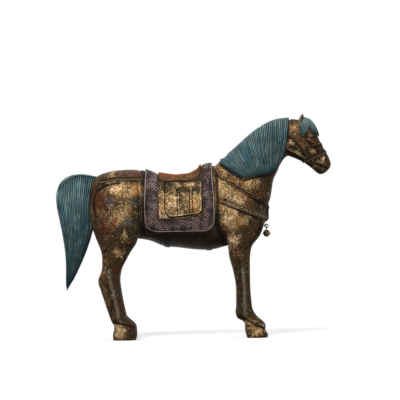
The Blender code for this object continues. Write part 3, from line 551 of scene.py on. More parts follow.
GROOVE_BLACK = (0.008, 0.006, 0.004)
DARK_BRONZE = (0.022, 0.015, 0.009)
OLIVE_BRONZE = (0.070, 0.050, 0.022)
WARM_BRONZE = (0.090, 0.042, 0.015)
RED_LACQUER = (0.108, 0.024, 0.011)
SLATE = (0.090, 0.090, 0.082)
DULL_GOLD = (0.270, 0.160, 0.064)
BRIGHT_GOLD = (0.580, 0.360, 0.140)
PALE_GOLD = (0.810, 0.630, 0.420)
ORANGE_GOLD = (0.520, 0.190, 0.045)
# Patches of gilding, each an x, z and radius in the side view; the small one at x 167, z 229 on the muzzle is
# a painted highlight
GILT_AND_HIGHLIGHT_SPOTS = [
    (-93, 194, 27), (-76, 194, 20), (-93, 162, 24), (-97, 112, 12), (-90, 133, 9), (-86, 172, 13),
    (-106, 208, 10), (128, 250, 8), (38, 202, 18), (43, 194, 34), (58, 184, 26), (36, 172, 20), (47, 157, 28),
    (62, 152, 16), (74, 201, 22), (38, 218, 15), (52, 128, 14), (131, 270, 15), (167, 229, 7), (139, 240, 9),
    (156, 240, 9), (66, 20, 12), (-97, 12, 14), (79, 7, 14),
]
RED_SPOTS = [
    (-121, 182, 22), (-116, 146, 20), (70, 181, 13), (86, 187, 9), (-96, 90, 13), (-95, 50, 12), (85, 12, 8),
    (55, 112, 12), (146, 250, 9), (-84, 14, 12), (-92, 212, 16), (-74, 213, 14),
]
SLATE_SPOTS = [(-108, 180, 14), (-76, 176, 13), (-82, 153, 18), (136, 246, 9), (46, 138, 12)]
# A pale painted sheen, in streaks down the middle of a foreleg and of a hind cannon
PAINTED_SHEEN = (0.330, 0.280, 0.215)
SHEEN_STREAKS = [((62.5, 98), (64.5, 24), 4.0), ((-112, 92), (-95.5, 14), 3.4)]
RED_STREAK = ((-93, 108), (-87, 20), 6.0)
BRONZE_GLOSS = 0.04


def weathered_with_painted_light(name, gilt, red, gilt_and_highlight_spots, red_spots, slate_spots):
    """Old gilded bronze: a dark brown ground with lacquer and slate blooms, broken gilding in patches, and
    painted light and shade.
    """
    finish = Finish(name)
    crown = finish.mark("crown")
    ragged = finish.ragged(2.6, 2.0)
    bloom = finish.noise(26, 4, 0.6)
    drift = finish.noise(13, 4, 0.65, finish.at((0.3, 0.1, 0.7)))
    grime = finish.noise(4.0, 5, 0.7, finish.at((0.9, 0.2, 0.4)))
    speck = finish.noise(1.2, 3, 0.7, finish.at((0.1, 0.6, 0.3)))
    fine = finish.noise(0.9, 3, 0.6)

    ground = finish.mix(finish.rise(grime, 0.36, 0.62), DARK_BRONZE, OLIVE_BRONZE)
    ground = finish.mix(finish.rise(drift, 0.45, 0.66) * 0.75, ground, WARM_BRONZE)
    redness = finish.around(red_spots) * 0.5 + finish.rise(bloom, 0.45, 0.7) * red + (grime - 0.5) * 1.3
    redness = redness + finish.streak(*RED_STREAK) * 0.45
    ground = finish.mix(finish.rise(redness, 0.1, 0.6) * 0.8, ground, RED_LACQUER)
    cool = finish.around(slate_spots) * 0.55 + (grime - 0.5) * 1.4
    ground = finish.mix(finish.rise(cool, 0.15, 0.6) * 0.7, ground, SLATE)

    amount = finish.around(gilt_and_highlight_spots) * 0.8 + finish.rise(bloom, 0.4, 0.72) * gilt + (grime - 0.5)
    film = finish.rise(amount, 0.1, 1.0) * 0.4
    leaf = finish.rise(speck + amount * 0.28, 0.63, 0.7)
    hue = finish.flakes(1.7, ragged, "Blue")
    gold = finish.mix(finish.rise(hue, 0.15, 0.75), DULL_GOLD, BRIGHT_GOLD)
    gold = finish.mix(finish.rise(hue + (bloom - 0.5) * 0.6, 0.76, 0.84), gold, PALE_GOLD)
    gold = finish.mix(finish.rise(drift, 0.52, 0.66) * 0.75, gold, ORANGE_GOLD)
    colour = finish.mix(film, ground, DULL_GOLD)
    colour = finish.mix(leaf * 0.9, colour, gold)
    # Pale streaks down the legs: a painted sheen
    for line in SHEEN_STREAKS:
        paled = finish.streak(*line) * finish.rise(grime + (fine - 0.5) * 0.5, 0.3, 0.62)
        colour = finish.mix(paled * 0.7, colour, PAINTED_SHEEN)

    # Raised crown values turn gold: partly gilding worn bright on edges and rims, partly a painted highlight
    # on the eye, the jaw edge, the muzzle and the brow
    ridge = finish.rise(crown + (grime - 0.5) * 0.8, 0.1, 0.9)
    colour = finish.mix(ridge * 0.7, colour, finish.mix(finish.rise(speck, 0.4, 0.6), DULL_GOLD, PALE_GOLD))
    # Surfaces facing down turn dark, and so do low crown values in grooves, creases and under the edges of
    # other parts: painted shade
    colour = finish.mix(finish.rise(0 - finish.upness(), 0.15, 0.75) * 0.8, colour, GROOVE_BLACK)
    groove = finish.rise(0 - crown, 0.05, 0.75)
    colour = finish.mix(groove * 0.88, colour, GROOVE_BLACK)
    roughness = 0.36 + leaf * 0.06 + groove * 0.2 + (fine - 0.5) * 0.2
    height = leaf * 0.5 + fine * 0.35 + grime * 0.6
    return finish.surface(
        base_color=colour, roughness=roughness, metallic=leaf * (1 - groove) * 0.3,
        normal=finish.bump(height, 0.35), specular_ior_level=BRONZE_GLOSS,
    )


gilt_bronze = weathered_with_painted_light("gilt_bronze_patina", 0.38, 0.3, GILT_AND_HIGHLIGHT_SPOTS, RED_SPOTS, SLATE_SPOTS)
SHARP_ANGLE = math.radians(38)


def finished(shape, name, material, node, body="statue"):
    """Turns a shape into a piece in metres, which rides on a body and stands for a node."""
    shape.transform(Matrix.Scale(MM, 4))
    mesh = bpy.data.meshes.new(name)
    shape.to_mesh(mesh)
    shape.free()
    mesh.materials.append(material)
    mesh.shade_smooth()
    mesh.set_sharp_from_angle(angle=SHARP_ANGLE)
    piece = bpy.data.objects.new(name, mesh)
    bpy.context.scene.collection.objects.link(piece)
    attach(piece, body)
    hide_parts(node)


def parted(shape, faces, spot, normal):
    """Cuts a shape apart along a plane, where the plane crosses some of its faces."""
    geom = dict.fromkeys(item for face in faces for item in (face, *face.edges, *face.verts))
    cut = bmesh.ops.bisect_plane(shape, geom=list(geom), plane_co=spot, plane_no=normal)["geom_cut"]
    bmesh.ops.split_edges(shape, edges=[item for item in cut if isinstance(item, bmesh.types.BMEdge)])


def across_joint(section):
    """A point on a section's plane, and the plane's normal."""
    way = Vector((section.x2 - section.x1, 0, section.z2 - section.z1))
    return Vector((section.x1, 0, section.z1)), Vector((-way.z, 0, way.x)).normalized()


skin = castings.copy()
skin_tree = BVHTree.FromBMesh(skin)
parted(castings, castings.faces, *across_joint(NECK[0]))
parted(castings, castings.faces, *across_joint(NECK[-1]))
UPWARDS = Vector((0, 0, 1))
FORELEGS_BACK_X = 40.0
HINDLEGS_FRONT_X = -70.0
fore = [face for face in castings.faces if face.calc_center_median().x > FORELEGS_BACK_X]
parted(castings, fore, UPWARDS * FORELEG_JOINT_Z, UPWARDS)
hind = [face for face in castings.faces if face.calc_center_median().x < HINDLEGS_FRONT_X]
parted(castings, hind, UPWARDS * HINDLEG_JOINT_Z, UPWARDS)


def casting_of(centre):
    """The name of the casting whose middle lies at a point."""
    side = "right" if centre.y < 0 else "left"
    if centre.z < FORELEG_JOINT_Z:
        return f"{'foreleg' if centre.x > 0 else 'hindleg'}_{side}"
    if centre.x > FACE_START_X:
        return "head"
    return "neck" if centre.z > NECK[0].z1 else "barrel"


def islands(shape):
    """The faces of a shape, in groups that hang together."""
    left = set(shape.faces)
    while left:
        group, front = set(), [left.pop()]
        while front:
            face = front.pop()
            group.add(face)
            linked = {other for edge in face.edges for other in edge.link_faces} & left
            left -= linked
            front += linked
        yield group


casting_shapes = {}
castings.faces.index_update()
for group in islands(castings):
    corners = [vert.co for face in group for vert in face.verts]
    middle = (Vector(map(min, zip(*corners))) + Vector(map(max, zip(*corners)))) / 2
    kept = {face.index for face in group}
    single = castings.copy()
    others = [face for face in single.faces if face.index not in kept]
    bmesh.ops.delete(single, geom=others, context="FACES")
    bmesh.ops.holes_fill(single, edges=single.edges, sides=0)
    casting_shapes[casting_of(middle)] = single
casting_shapes["head"] = gathered([casting_shapes["head"], eye(-1), eye(1)])
for name, shape in sorted(casting_shapes.items()):
    slot = "brown_bronze" if "leg" in name else "gilt_bronze"
    finished(shape, f"{name}_casting", gilt_bronze, name)


# Ears: small solid bronze castings, each pegged into the crown of the head. An ear is a leaf with a cupped
# front, which is turned a little outwards.
EAR_Y = 8.0
EAR = [Section(*row) for row in [
    (144.6, 274, 137.2, 274, 3.4), (145.6, 279.5, 138.2, 279.5, 3.2), (145.4, 284.5, 140.2, 284.5, 2.2),
    (144.6, 288.3, 143.2, 288.3, 0.7),
]]
EAR_SIDES = 36
EAR_STEPS = 8
EAR_CUP = 0.55
EAR_TURN = math.radians(38)


def ear(side):
    cups = [max(0, math.cos(angle - side * EAR_TURN)) ** 3 for angle in turns(EAR_SIDES)]
    rings = []
    for section in eased([section._replace(shift=side * EAR_Y) for section in EAR], EAR_STEPS):
        middle = (rim_point(section, 0) + rim_point(section, math.pi)) / 2
        rim = [rim_point(section, angle) for angle in turns(EAR_SIDES)]
        rings.append([point.lerp(middle, EAR_CUP * cup) for point, cup in zip(rim, cups)])
    # The crowns paint shade in the cupped front and turn the back of the ear paler
    return rolled(rings, [0.6 - 1.6 * cup for cup in cups])


for name, side in SIDES.items():
    finished(ear(side), f"ear_{name}_leaf", gilt_bronze, f"ear_{name}")


# Tail: one solid bronze casting on a spigot in the rump, painted blue. Its locks stand over a core and run
# from the dock round to the tip.
TAIL = [Section(*row) for row in [
    (-120, 211.5, -120, 195, 7), (-130, 214.2, -129, 192, 9), (-145, 216.4, -131, 186, 11.5),
    (-160, 214.4, -130, 177, 13), (-172.6, 206, -129, 167, 14), (-178.2, 191.5, -129, 156.5, 14.5),
    (-178.2, 176, -130, 147, 14.5), (-175.4, 159, -132.5, 137, 14), (-171, 136, -137.6, 121, 12.5),
    (-168.4, 113, -143.2, 107, 10.5), (-168.2, 95, -149.2, 94, 8), (-168.8, 81, -155.6, 81, 5.5),
    (-168.8, 71, -161.8, 71, 3.2), (-167.9, 64.4, -165.6, 64.4, 1.2),
]]
TAIL_SIDES = 40
TAIL_LOCKS = 58
TAIL_RELIEF = 1.3
TAIL_TOPS = [(-123, 209.4), (-133, 211.4), (-146, 213), (-159, 211), (-168.6, 204.6), (-175.2, 194)]
TAIL_ROWS = [
    (176, -176, -132), (147, -171.4, -132.4), (121, -167.4, -140), (94, -166.4, -151.6), (78, -166.8, -159.4),
]
TAIL_TIP = (-167.4, 66)
SIDE_STRANDS = 22
STRAND_STEP = 3.0
TAIL_BREADTH = 44.0
SWAY = 0.05
GOLDEN_SHARE = 0.618034


def shrunk(section, inset):
    """A section drawn in on all sides."""
    first, second = Vector((section.x1, section.z1)), Vector((section.x2, section.z2))
    share = min(0.4, inset / (first - second).length)
    a, b = first.lerp(second, share), second.lerp(first, share)
    return section._replace(x1=a.x, z1=a.y, x2=b.x, z2=b.y, half_width=max(0.3, section.half_width - inset))


def lock(points, ups, width, height, tone):
    """One lock of hair: a round strand, which carries a tone of its own."""
    return marked(swept(points, ups, width, height, round_profile(10, -1, 1)), tone=tone)


def along(path, share):
    """The point at a share of a path's length."""
    runs = [(Vector(b) - Vector(a)).length for a, b in zip(path, path[1:])]
    left = share * sum(runs)
    for a, b, run in zip(path, path[1:], runs):
        if left <= run or b is path[-1]:
            return Vector(a).lerp(Vector(b), min(1, left / run))
        left -= run


def evened(vectors, rounds=2):
    """A row of vectors with its small jumps smoothed away. Its ends stay."""
    for _ in range(rounds):
        inner = [(a + b * 2 + c) / 4 for a, b, c in zip(vectors, vectors[1:], vectors[2:])]
        vectors = [vectors[0], *inner, vectors[-1]]
    return vectors


def hanging(tree, share, side, rank):
    """A strand on the tail's side that falls from the top outline to the tip."""
    start = along(TAIL_TOPS, share)
    rows = [Vector((front + (back - front) * share, z)) for z, back, front in TAIL_ROWS]
    path = evened(stepped([start, *rows, Vector(TAIL_TIP)], STRAND_STEP), 8)
    path = path[: round(len(path) * (0.84 + 0.16 * rank))]
    points, normals, widths = [], [], []
    for k, (x, z) in enumerate(path):
        point, normal, _, _ = tree.ray_cast(Vector((x, side * PAST_SIDE, z)), Vector((0, -side, 0)))
        if point is None:
            point, normal, _, _ = tree.find_nearest(Vector((x, side, z)))
        points.append(point)
        normals.append(normal)
        pitch = max(0.8, min(TAIL_BREADTH, (z - TAIL_TIP[1]) * 0.62)) / SIDE_STRANDS
        widths.append((pitch * 0.5 + 0.15) * min(1, 0.3 + k / 4, (len(path) - k) / 5))
    heights = [min(TAIL_RELIEF * (0.75 + 0.25 * rank), width * 1.2) for width in widths]
    return lock(evened(points), evened(normals, 4), widths, heights, rank)


def tail():
    """A core with strands that hang on its sides and locks that run along its top and its front."""
    inner = [shrunk(section, TAIL_RELIEF) for section in eased(TAIL)]
    # The core's crown of -1 paints shade between the locks
    core = marked(lofted(inner, TAIL_SIDES), tone=0.3, crown=-1)
    core_tree = BVHTree.FromBMesh(core)
    shapes = [core]
    for side in SIDES.values():
        for i in range(SIDE_STRANDS):
            shapes.append(hanging(core_tree, i / (SIDE_STRANDS - 1), side, i * GOLDEN_SHARE % 1))
    for i, angle in enumerate(turns(TAIL_LOCKS)):
        if abs(math.sin(angle)) > 0.5:
            continue
        rank = i * GOLDEN_SHARE % 1
        last = round(len(inner) * (0.82 + 0.18 * rank))
        sway = [angle + SWAY * math.sin(k * 0.35 + i * 2.4) for k in range(last)]
        points = [rim_point(section, a) for section, a in zip(inner, sway)]
        ahead = [rim_point(section, a + SWAY) for section, a in zip(inner, sway)]
        ups = []
        for k in range(last):
            run = points[min(k + 1, last - 1)] - points[max(k - 1, 0)]
            ups.append((ahead[k] - points[k]).cross(run).normalized())
        pitch = [(b - a).length / SWAY * 2 * math.pi / TAIL_LOCKS for a, b in zip(points, ahead)]
        taper = [min(1, (last - k) / 6) for k in range(last)]
        width = [p * 0.52 * t + 0.1 for p, t in zip(pitch, taper)]
        height = [min(TAIL_RELIEF * (0.75 + 0.25 * rank), w * 1.15) for w in width]
        shapes.append(lock(points, ups, width, height, rank))
    return gathered(shapes)


DEEP_TEAL = (0.005, 0.014, 0.017)
TEAL = (0.046, 0.155, 0.178)
GREY_TEAL = (0.172, 0.240, 0.220)
PALE_TEAL = (0.270, 0.420, 0.430)
FRESH_BLUE = (0.075, 0.235, 0.330)
OLD_OLIVE = (0.045, 0.040, 0.020)
PAINT_GLOSS = 0.1


def painted_hair(name, paling, dark_foot):
    """Blue paint on bronze hair: painted shade in the grooves, worn pale on the ridges, and paler higher up.

    It is darkest up to the first height of the dark foot, and no darker than the rest from the second one on.
    """
    finish = Finish(name)
    tone = finish.mark("tone")
    crown = finish.mark("crown")
    cloud = finish.noise(17, 3, 0.6)
    streak = finish.noise(3.4, 4, 0.65, finish.at((0.2, 0, 0), (1, 1, 0.3)))
    body = finish.mix(finish.rise(cloud + (tone - 0.5) * 0.1, 0.4, 0.6), TEAL, GREY_TEAL)
    body = finish.mix(finish.rise(tone * 0.5 + streak, 0.82, 1.0) * 0.6, body, OLD_OLIVE)
    fresh = finish.noise(7, 2, 0.5, finish.at((0.7, 0.4, 0.1), (1, 1, 0.22)))
    body = finish.mix(finish.rise(fresh, 0.52, 0.64) * 0.7, body, FRESH_BLUE)
    body = finish.mix((1 - finish.above(*dark_foot)) * 0.65, body, DEEP_TEAL)
    body = finish.mix(finish.above(235, 275) * 0.55, body, GREY_TEAL)
    body = finish.mix((1 - tone) * 0.3, body, DEEP_TEAL)
    body = finish.mix(finish.above(130, 200) * paling, body, PALE_TEAL)
    # The locks' lower sides and the bed and core beneath them turn deep teal: painted shade between the locks
    colour = finish.mix(finish.rise(crown, 0.1, 0.85), DEEP_TEAL, body)
    patch = finish.rise(finish.noise(12, 2, 0.5, finish.at((0.5, 0.2, 0.9))), 0.44, 0.6) * 0.8 + 0.2
    ridge = crown * 0.5 + streak * 1.1 + tone * 0.4 + paling * 0.3
    paled = finish.rise(ridge, 1.05, 1.4) * patch * finish.above(50, 200)
    colour = finish.mix(paled * 0.9, colour, PALE_TEAL)
    fine = finish.noise(0.8, 3, 0.6)
    return finish.surface(
        base_color=colour, roughness=0.52 + (fine - 0.5) * 0.3, normal=finish.bump(fine, 0.15),
        specular_ior_level=PAINT_GLOSS,
    )


finished(tail(), "tail_locks", painted_hair("blue_tail_paint", 0.26, (90, 190)), "tail")


# Mane and forelock: cast bronze shells, bedded on the neck and the forehead, the mane on two dowels. They are
# painted blue like the tail. Locks fall from the crest, slanting at the withers, upright behind the cheek.
MANE_OUTLINE = [
    (126.5, 291, 0), (124.6, 262, 40), (119, 241, 20), (105.5, 218.5, 12), (97.5, 211.5, 6), (82, 209.7, 10),
    (67.5, 205.5, 12), (40.5, 220.5, 6), (35.6, 225.4, 0), (37, 229.4, 0), (43.2, 238.4, 0), (50, 245, 0),
    (46, 258, 0), (62, 282, 0), (105, 300, 0),
]
MANE_ROOTS = [
    (36.2, 226.4), (39.6, 231.4), (44.5, 235), (59, 247), (75, 261), (91.5, 272.6), (107, 279.4),
    (124, 281.4),
]
MANE_TIPS = [(66.5, 206.4), (82, 210), (97, 212.5), (106, 219.5)]
MANE_LOCKS = 42
MANE_BED = 2.4
ROOT_HALF_WIDTH = 1.2
TIP_HALF_WIDTH = 0.7
LOCK_HEIGHT = 1.25
LOCK_STEPS = 22
HAIR_LIFT = 0.1
ARC_STEPS = 6


def rounded(corners):
    """A side outline with its corners rounded. A corner is x, z and a radius."""
    points = []
    for i, (x, z, radius) in enumerate(corners):
        corner = Vector((x, z))
        if not radius:
            points.append(corner)
            continue
        back = (Vector(corners[i - 1][:2]) - corner).normalized()
        ahead = (Vector(corners[(i + 1) % len(corners)][:2]) - corner).normalized()
        half = back.angle(ahead) / 2
        start, end = corner + back * radius / math.tan(half), corner + ahead * radius / math.tan(half)
        centre = corner + (back + ahead).normalized() * radius / math.sin(half)
        for k in range(ARC_STEPS + 1):
            points.append(centre + (start - centre).slerp(end - centre, k / ARC_STEPS) * radius)
    return points


def prism(outline, low, high):
    """A side outline drawn out along Y."""
    bm = bmesh.new()
    rim = bmesh.ops.create_circle(bm, cap_ends=True, radius=1, segments=len(outline))["verts"]
    for vert, (x, z) in zip(rim, outline):
        vert.co = (x, low, z)
    drawn = bmesh.ops.extrude_face_region(bm, geom=bm.faces[:])["geom"]
    moved = [item for item in drawn if isinstance(item, bmesh.types.BMVert)]
    bmesh.ops.translate(bm, verts=moved, vec=(0, high - low, 0))
    bmesh.ops.recalc_face_normals(bm, faces=bm.faces)
    return bm


def grown(shape, distance):
    """A passing object of a skin pushed out along its normals."""
    obj = stand_in(shape)
    push = obj.modifiers.new("grown", "DISPLACE")
    push.mid_level = 0
    push.strength = distance
    return obj


def cut(obj, operation, tool):
    step = obj.modifiers.new(operation, "BOOLEAN")
    step.operation = operation
    step.solver = "MANIFOLD"
    step.object = tool


def laid(shape, outline, lift, thickness, low=-PAST_SIDE, high=PAST_SIDE, window=None):
    """A sheet over a skin: the space between two heights above it, cut to an outline and perhaps a window."""
    sheet, under = grown(shape, lift + thickness), grown(shape, lift)
    around = stand_in(prism(outline, low, high))
    cut(sheet, "INTERSECT", around)
    cut(sheet, "DIFFERENCE", under)
    used = [under, around]
    if window:
        used.append(stand_in(prism(window, low, high)))
        cut(sheet, "DIFFERENCE", used[-1])
    return settled(sheet, *used)


def hair(start, bend, end, side, half_widths, height, beds, tone):
    """A lock on the skin, along a bent line in the side view. Pairs of sizes are for its root and its tip."""
    shares = [k / LOCK_STEPS for k in range(LOCK_STEPS + 1)]
    spots = []
    for t in (share**1.5 for share in shares):
        place = start * (1 - t) ** 2 + bend * 2 * t * (1 - t) + end * t**2
        spots.append(landed(skin_tree, place, side))
    normals = evened([normal for _, normal in spots], 4)
    points, widths, heights = [], [], []
    for share, (point, _), normal in zip(shares, spots, normals):
        taper = min(1, 0.4 + 5 * (1 - share))
        points.append(point + normal * (beds[0] + (beds[1] - beds[0]) * share**3))
        widths.append((half_widths[0] + (half_widths[1] - half_widths[0]) * share) * taper)
        heights.append(height * taper)
    return lock(evened(points), normals, widths, heights, tone)


def mane():
    # The bed's crown of -1 paints shade between the locks
    shapes = [marked(laid(skin, rounded(MANE_OUTLINE), HAIR_LIFT, MANE_BED), tone=0.4, crown=-1)]
    for side in SIDES.values():
        for i in range(MANE_LOCKS):
            share = i / (MANE_LOCKS - 1)
            start, end = along(MANE_ROOTS, share), along(MANE_TIPS, share)
            lean = 0.5 + 0.35 * share
            bend = Vector((end.x + (start.x - end.x) * lean, end.y + (start.y - end.y) * (1 - lean * 0.8)))
            rank = i * GOLDEN_SHARE % 1
            reach = end + (start - end) * 0.08 * (rank - 0.5) * (0.2 < share < 0.97)
            height = LOCK_HEIGHT * (0.8 + 0.2 * rank)
            widths, beds = (ROOT_HALF_WIDTH, TIP_HALF_WIDTH), (MANE_BED, MANE_BED)
            shapes.append(hair(start, bend, reach, side, widths, height, beds, rank))
    return gathered(shapes)


FORELOCK_OUTLINE = [
    (148.4, 288, 0), (148.2, 276.5, 2), (144.6, 271.2, 3), (138.8, 270.2, 1.5), (139.2, 262, 5),
    (142.6, 257.2, 1.5), (147.2, 262.4, 5), (151, 270.6, 3), (158, 262.5, 3), (164.5, 259.5, 0),
    (171, 262, 0), (170, 288, 0),
]
SIDE_LOCK_ROOTS = [(145.4, 284), (148.6, 284), (151.6, 283)]
SIDE_LOCK_TIPS = [(139.4, 268.4), (140, 262), (142.8, 258), (147, 263), (150.4, 269.6)]
FRONT_LOCK_ROOTS = [(151, 283), (153.6, 281)]
FRONT_LOCK_TIPS = [(152, 268.4), (157.6, 263.6), (163.6, 261)]
FORELOCK_LOCKS = 9
FORELOCK_BED = 1.2
FORELOCK_BEDS = (2.4, FORELOCK_BED)
FORELOCK_HALF_WIDTHS = (1.1, 0.8)


def forelock():
    # The bed's crown of -1 paints shade between the locks
    shapes = [marked(laid(skin, rounded(FORELOCK_OUTLINE), HAIR_LIFT, FORELOCK_BED), tone=0.4, crown=-1)]
    for side in SIDES.values():
        for roots, tips in ((SIDE_LOCK_ROOTS, SIDE_LOCK_TIPS), (FRONT_LOCK_ROOTS, FRONT_LOCK_TIPS)):
            for i in range(FORELOCK_LOCKS):
                share = i / (FORELOCK_LOCKS - 1)
                start, end = along(roots, share), along(tips, share)
                bend = start.lerp(end, 0.5) + Vector((0.8, 0.8))
                sizes = FORELOCK_HALF_WIDTHS, LOCK_HEIGHT, FORELOCK_BEDS
                shapes.append(hair(start, bend, end, side, *sizes, i * GOLDEN_SHARE % 1))
    return gathered(shapes)


blue_hair = painted_hair("blue_mane_paint", 0.0, (190, 232))
finished(mane(), "mane_locks", blue_hair, "mane")
finished(forelock(), "forelock_locks", blue_hair, "forelock")


# Saddle cloths: a sweat pad and a gilded blanket, cast in bronze as thin sheets and bedded on the back. On
# the blanket lies a plum lacquered border with a woven pattern of raised lines.
PAD_OUTLINE = [(-66.6, 245, 0), (-68, 180, 0), (-68, 141.5, 14), (24.4, 141.5, 14), (20.6, 245, 0)]
BLANKET_OUTLINE = [
    (-60.4, 245, 0), (-64.2, 176, 0), (-63.8, 138.6, 16), (27.4, 138.6, 15), (27.2, 180, 0), (23.6, 245, 0),
]
BORDER_WINDOW = [(-45.5, 245, 0), (-45, 156.5, 0), (12.6, 156.5, 3), (11.4, 245, 0)]
PAD_LIFT = 0.3
PAD_THICKNESS = 0.8
BLANKET_LIFT = 1.4
BLANKET_THICKNESS = 1.5
TOP_LIFT = 3.2
BORDER_THICKNESS = 0.5
BORDER_TOP = TOP_LIFT + BORDER_THICKNESS
# Lines along the border: their outline and its offset, how deep they sink, their radius and their crown value
BORDER_LINES = [
    (BLANKET_OUTLINE, -1.3, 0.1, 0.5, 1.3), (BLANKET_OUTLINE, -2.4, 0.3, 0.6, -1),
    (BLANKET_OUTLINE, -3.7, 0, 0.35, 0.7), (BORDER_WINDOW, 0.8, 0.3, 0.6, 0.45),
]
FOOT_DEPTH = 5.0
HATCH_PITCH = 2.6
PANEL_LENGTH = 12.0
HATCH_HEIGHT = 0.42
HATCH_HALF_WIDTH = 0.62
HATCH_STEP = 0.9
HATCH_LINES = range(-40, 60)
HATCH_MARGIN = 4.9
HATCH_WINDOW_MARGIN = 1.8
HATCH_BACK_X = -64
HATCH_FRONT_X = 28
SADDLE_MIDDLE_X = -20
SADDLE_AXIS_Z = 165.0
SADDLE_WRAP_DEGREES = 160
LINE_STEP = 1.0
RIDGE_PROFILE = [(-1, -0.4, -0.6), (-0.55, 0.85, 1), (0.55, 0.85, 1), (1, -0.4, -0.6)]


def line_on(path, side, lift):
    """Points and normals along a side-view path, at a height above the skin."""
    spots = []
    for place in stepped(path, LINE_STEP):
        aim = place.copy()
        for _ in range(3):
            point, normal = landed(skin_tree, aim, side)
            raised = point + normal * lift
            aim += (place - Vector((raised.x, raised.z))) * 0.8
        spots.append((point, normal))
    normals = evened([normal for _, normal in spots], 4)
    return evened([point + normal * lift for (point, _), normal in zip(spots, normals)]), normals


def cord(path, side, lift, radius, crown=0):
    """A round cord along a side-view path."""
    return swept(*line_on(path, side, lift), radius, radius, round_profile(8, crown, crown))


def inside(outline, x, z):
    """Whether a place in the side view lies in an outline."""
    crossings = 0
    for a, b in zip(outline, [*outline[1:], outline[0]]):
        if (a.y > z) != (b.y > z) and x < a.x + (b.x - a.x) * (z - a.y) / (b.y - a.y):
            crossings += 1
    return crossings % 2 == 1


def offset(corners, distance):
    """A side outline moved outwards by a distance, or inwards by a negative one. Its top stays."""
    xs, zs = [x for x, _, _ in corners], [z for _, z, _ in corners]
    middle, low = (min(xs) + max(xs)) / 2, min(zs) + FOOT_DEPTH
    moved = []
    for x, z, radius in corners:
        aside = distance if x > middle else -distance
        down = distance if z < low else 0
        moved.append((x + aside, z - down, max(0, radius + distance)))
    return moved


def saddle_ray(x, angle, side):
    """Where a ray from the saddle's axis, at an angle from upright, meets the skin, and the normal there."""
    way = Vector((0, side * math.sin(angle), math.cos(angle)))
    point, normal, _, _ = skin_tree.ray_cast(Vector((x, 0, SADDLE_AXIS_Z)), way)
    return point, normal


def wrap_angles(side):
    """Angles from the saddle's ridge downwards, at equal steps along the skin."""
    angles = [math.radians(degree) for degree in range(SADDLE_WRAP_DEGREES + 1)]
    spots = [saddle_ray(SADDLE_MIDDLE_X, angle, side)[0] for angle in angles]
    arc = [0.0]
    for a, b in zip(spots, spots[1:]):
        arc.append(arc[-1] + (b - a).length)
    found = []
    for down in (k * HATCH_STEP for k in range(round(arc[-1] / HATCH_STEP))):
        j = next(j for j, length in enumerate(arc) if length >= down)
        angle = angles[j]
        if j:
            angle -= (arc[j] - down) / (arc[j] - arc[j - 1]) * (angles[j] - angles[j - 1])
        found.append(angle)
    return found


def hatching(side):
    """Panels of slanting lines over the border, which lean one way and the other by turns."""
    outer = rounded(offset(BLANKET_OUTLINE, -HATCH_MARGIN))
    inner = rounded(offset(BORDER_WINDOW, HATCH_WINDOW_MARGIN))
    foot = BORDER_WINDOW[1][1]
    slant = HATCH_PITCH * math.sqrt(2)
    angles = wrap_angles(side)
    shapes = []
    for lean in (1, -1):
        for i in HATCH_LINES:
            start = HATCH_BACK_X + i * slant
            run = []
            for k, angle in enumerate(angles):
                x = start + lean * (k * HATCH_STEP) - (lean < 0) * 0.5 * slant
                point = None
                if HATCH_BACK_X < x < HATCH_FRONT_X:
                    point, normal = saddle_ray(x, angle, side)
                if point:
                    raised = point + normal * BORDER_TOP
                    walked = raised.x - BLANKET_OUTLINE[2][0] if raised.z < foot else raised.z
                    leans = walked // PANEL_LENGTH % 2 == (lean > 0)
                    if leans and inside(outer, raised.x, raised.z) and not inside(inner, raised.x, raised.z):
                        run.append((point, normal))
                        continue
                if len(run) > 2:
                    normals = evened([normal for _, normal in run], 3)
                    points = [point + normal * BORDER_TOP for (point, _), normal in zip(run, normals)]
                    shapes.append(swept(points, normals, HATCH_HALF_WIDTH, HATCH_HEIGHT, RIDGE_PROFILE))
                run = []
    return gathered(shapes)


def border():
    window = rounded(BORDER_WINDOW)
    sheet = laid(skin, rounded(BLANKET_OUTLINE), TOP_LIFT, BORDER_THICKNESS, window=window)
    shapes = [marked(sheet, crown=-0.15)]
    for side in SIDES.values():
        shapes.append(hatching(side))
        for outline, distance, sink, radius, crown in BORDER_LINES:
            shapes.append(cord(rounded(offset(outline, distance)), side, BORDER_TOP - sink, radius, crown))
    return gathered(shapes)


PLUM = (0.084, 0.048, 0.046)
DARK_PLUM = (0.034, 0.020, 0.021)
PALE_PLUM = (0.560, 0.420, 0.380)


def plum_paint():
    """Plum lacquer, worn pale along raised lines, with bare bronze here and there."""
    finish = Finish("plum_border_lacquer")
    crown = finish.mark("crown")
    cloud = finish.noise(12, 3, 0.6)
    grain = finish.noise(1.6, 4, 0.65)
    fine = finish.noise(0.6, 2, 0.5)
    ground = finish.mix(finish.rise(cloud, 0.38, 0.66), DARK_PLUM, PLUM)
    ground = finish.mix(finish.rise(cloud * 0.6 + grain * 0.5, 0.6, 0.75) * 0.5, ground, WARM_BRONZE)
    paled = finish.rise(crown * 0.9 + (grain - 0.5) * 0.6 + (cloud - 0.5) * 2.6, 0.4, 1.15)
    # Grooves turn near black: painted shade
    ground = finish.mix(finish.rise(0 - crown, 0.05, 0.5) * 0.6, ground, GROOVE_BLACK)
    colour = finish.mix(paled * 0.9, ground, PALE_PLUM)
    return finish.surface(
        base_color=colour, roughness=0.5 + (fine - 0.5) * 0.2, normal=finish.bump(grain, 0.25),
        specular_ior_level=PAINT_GLOSS,
    )


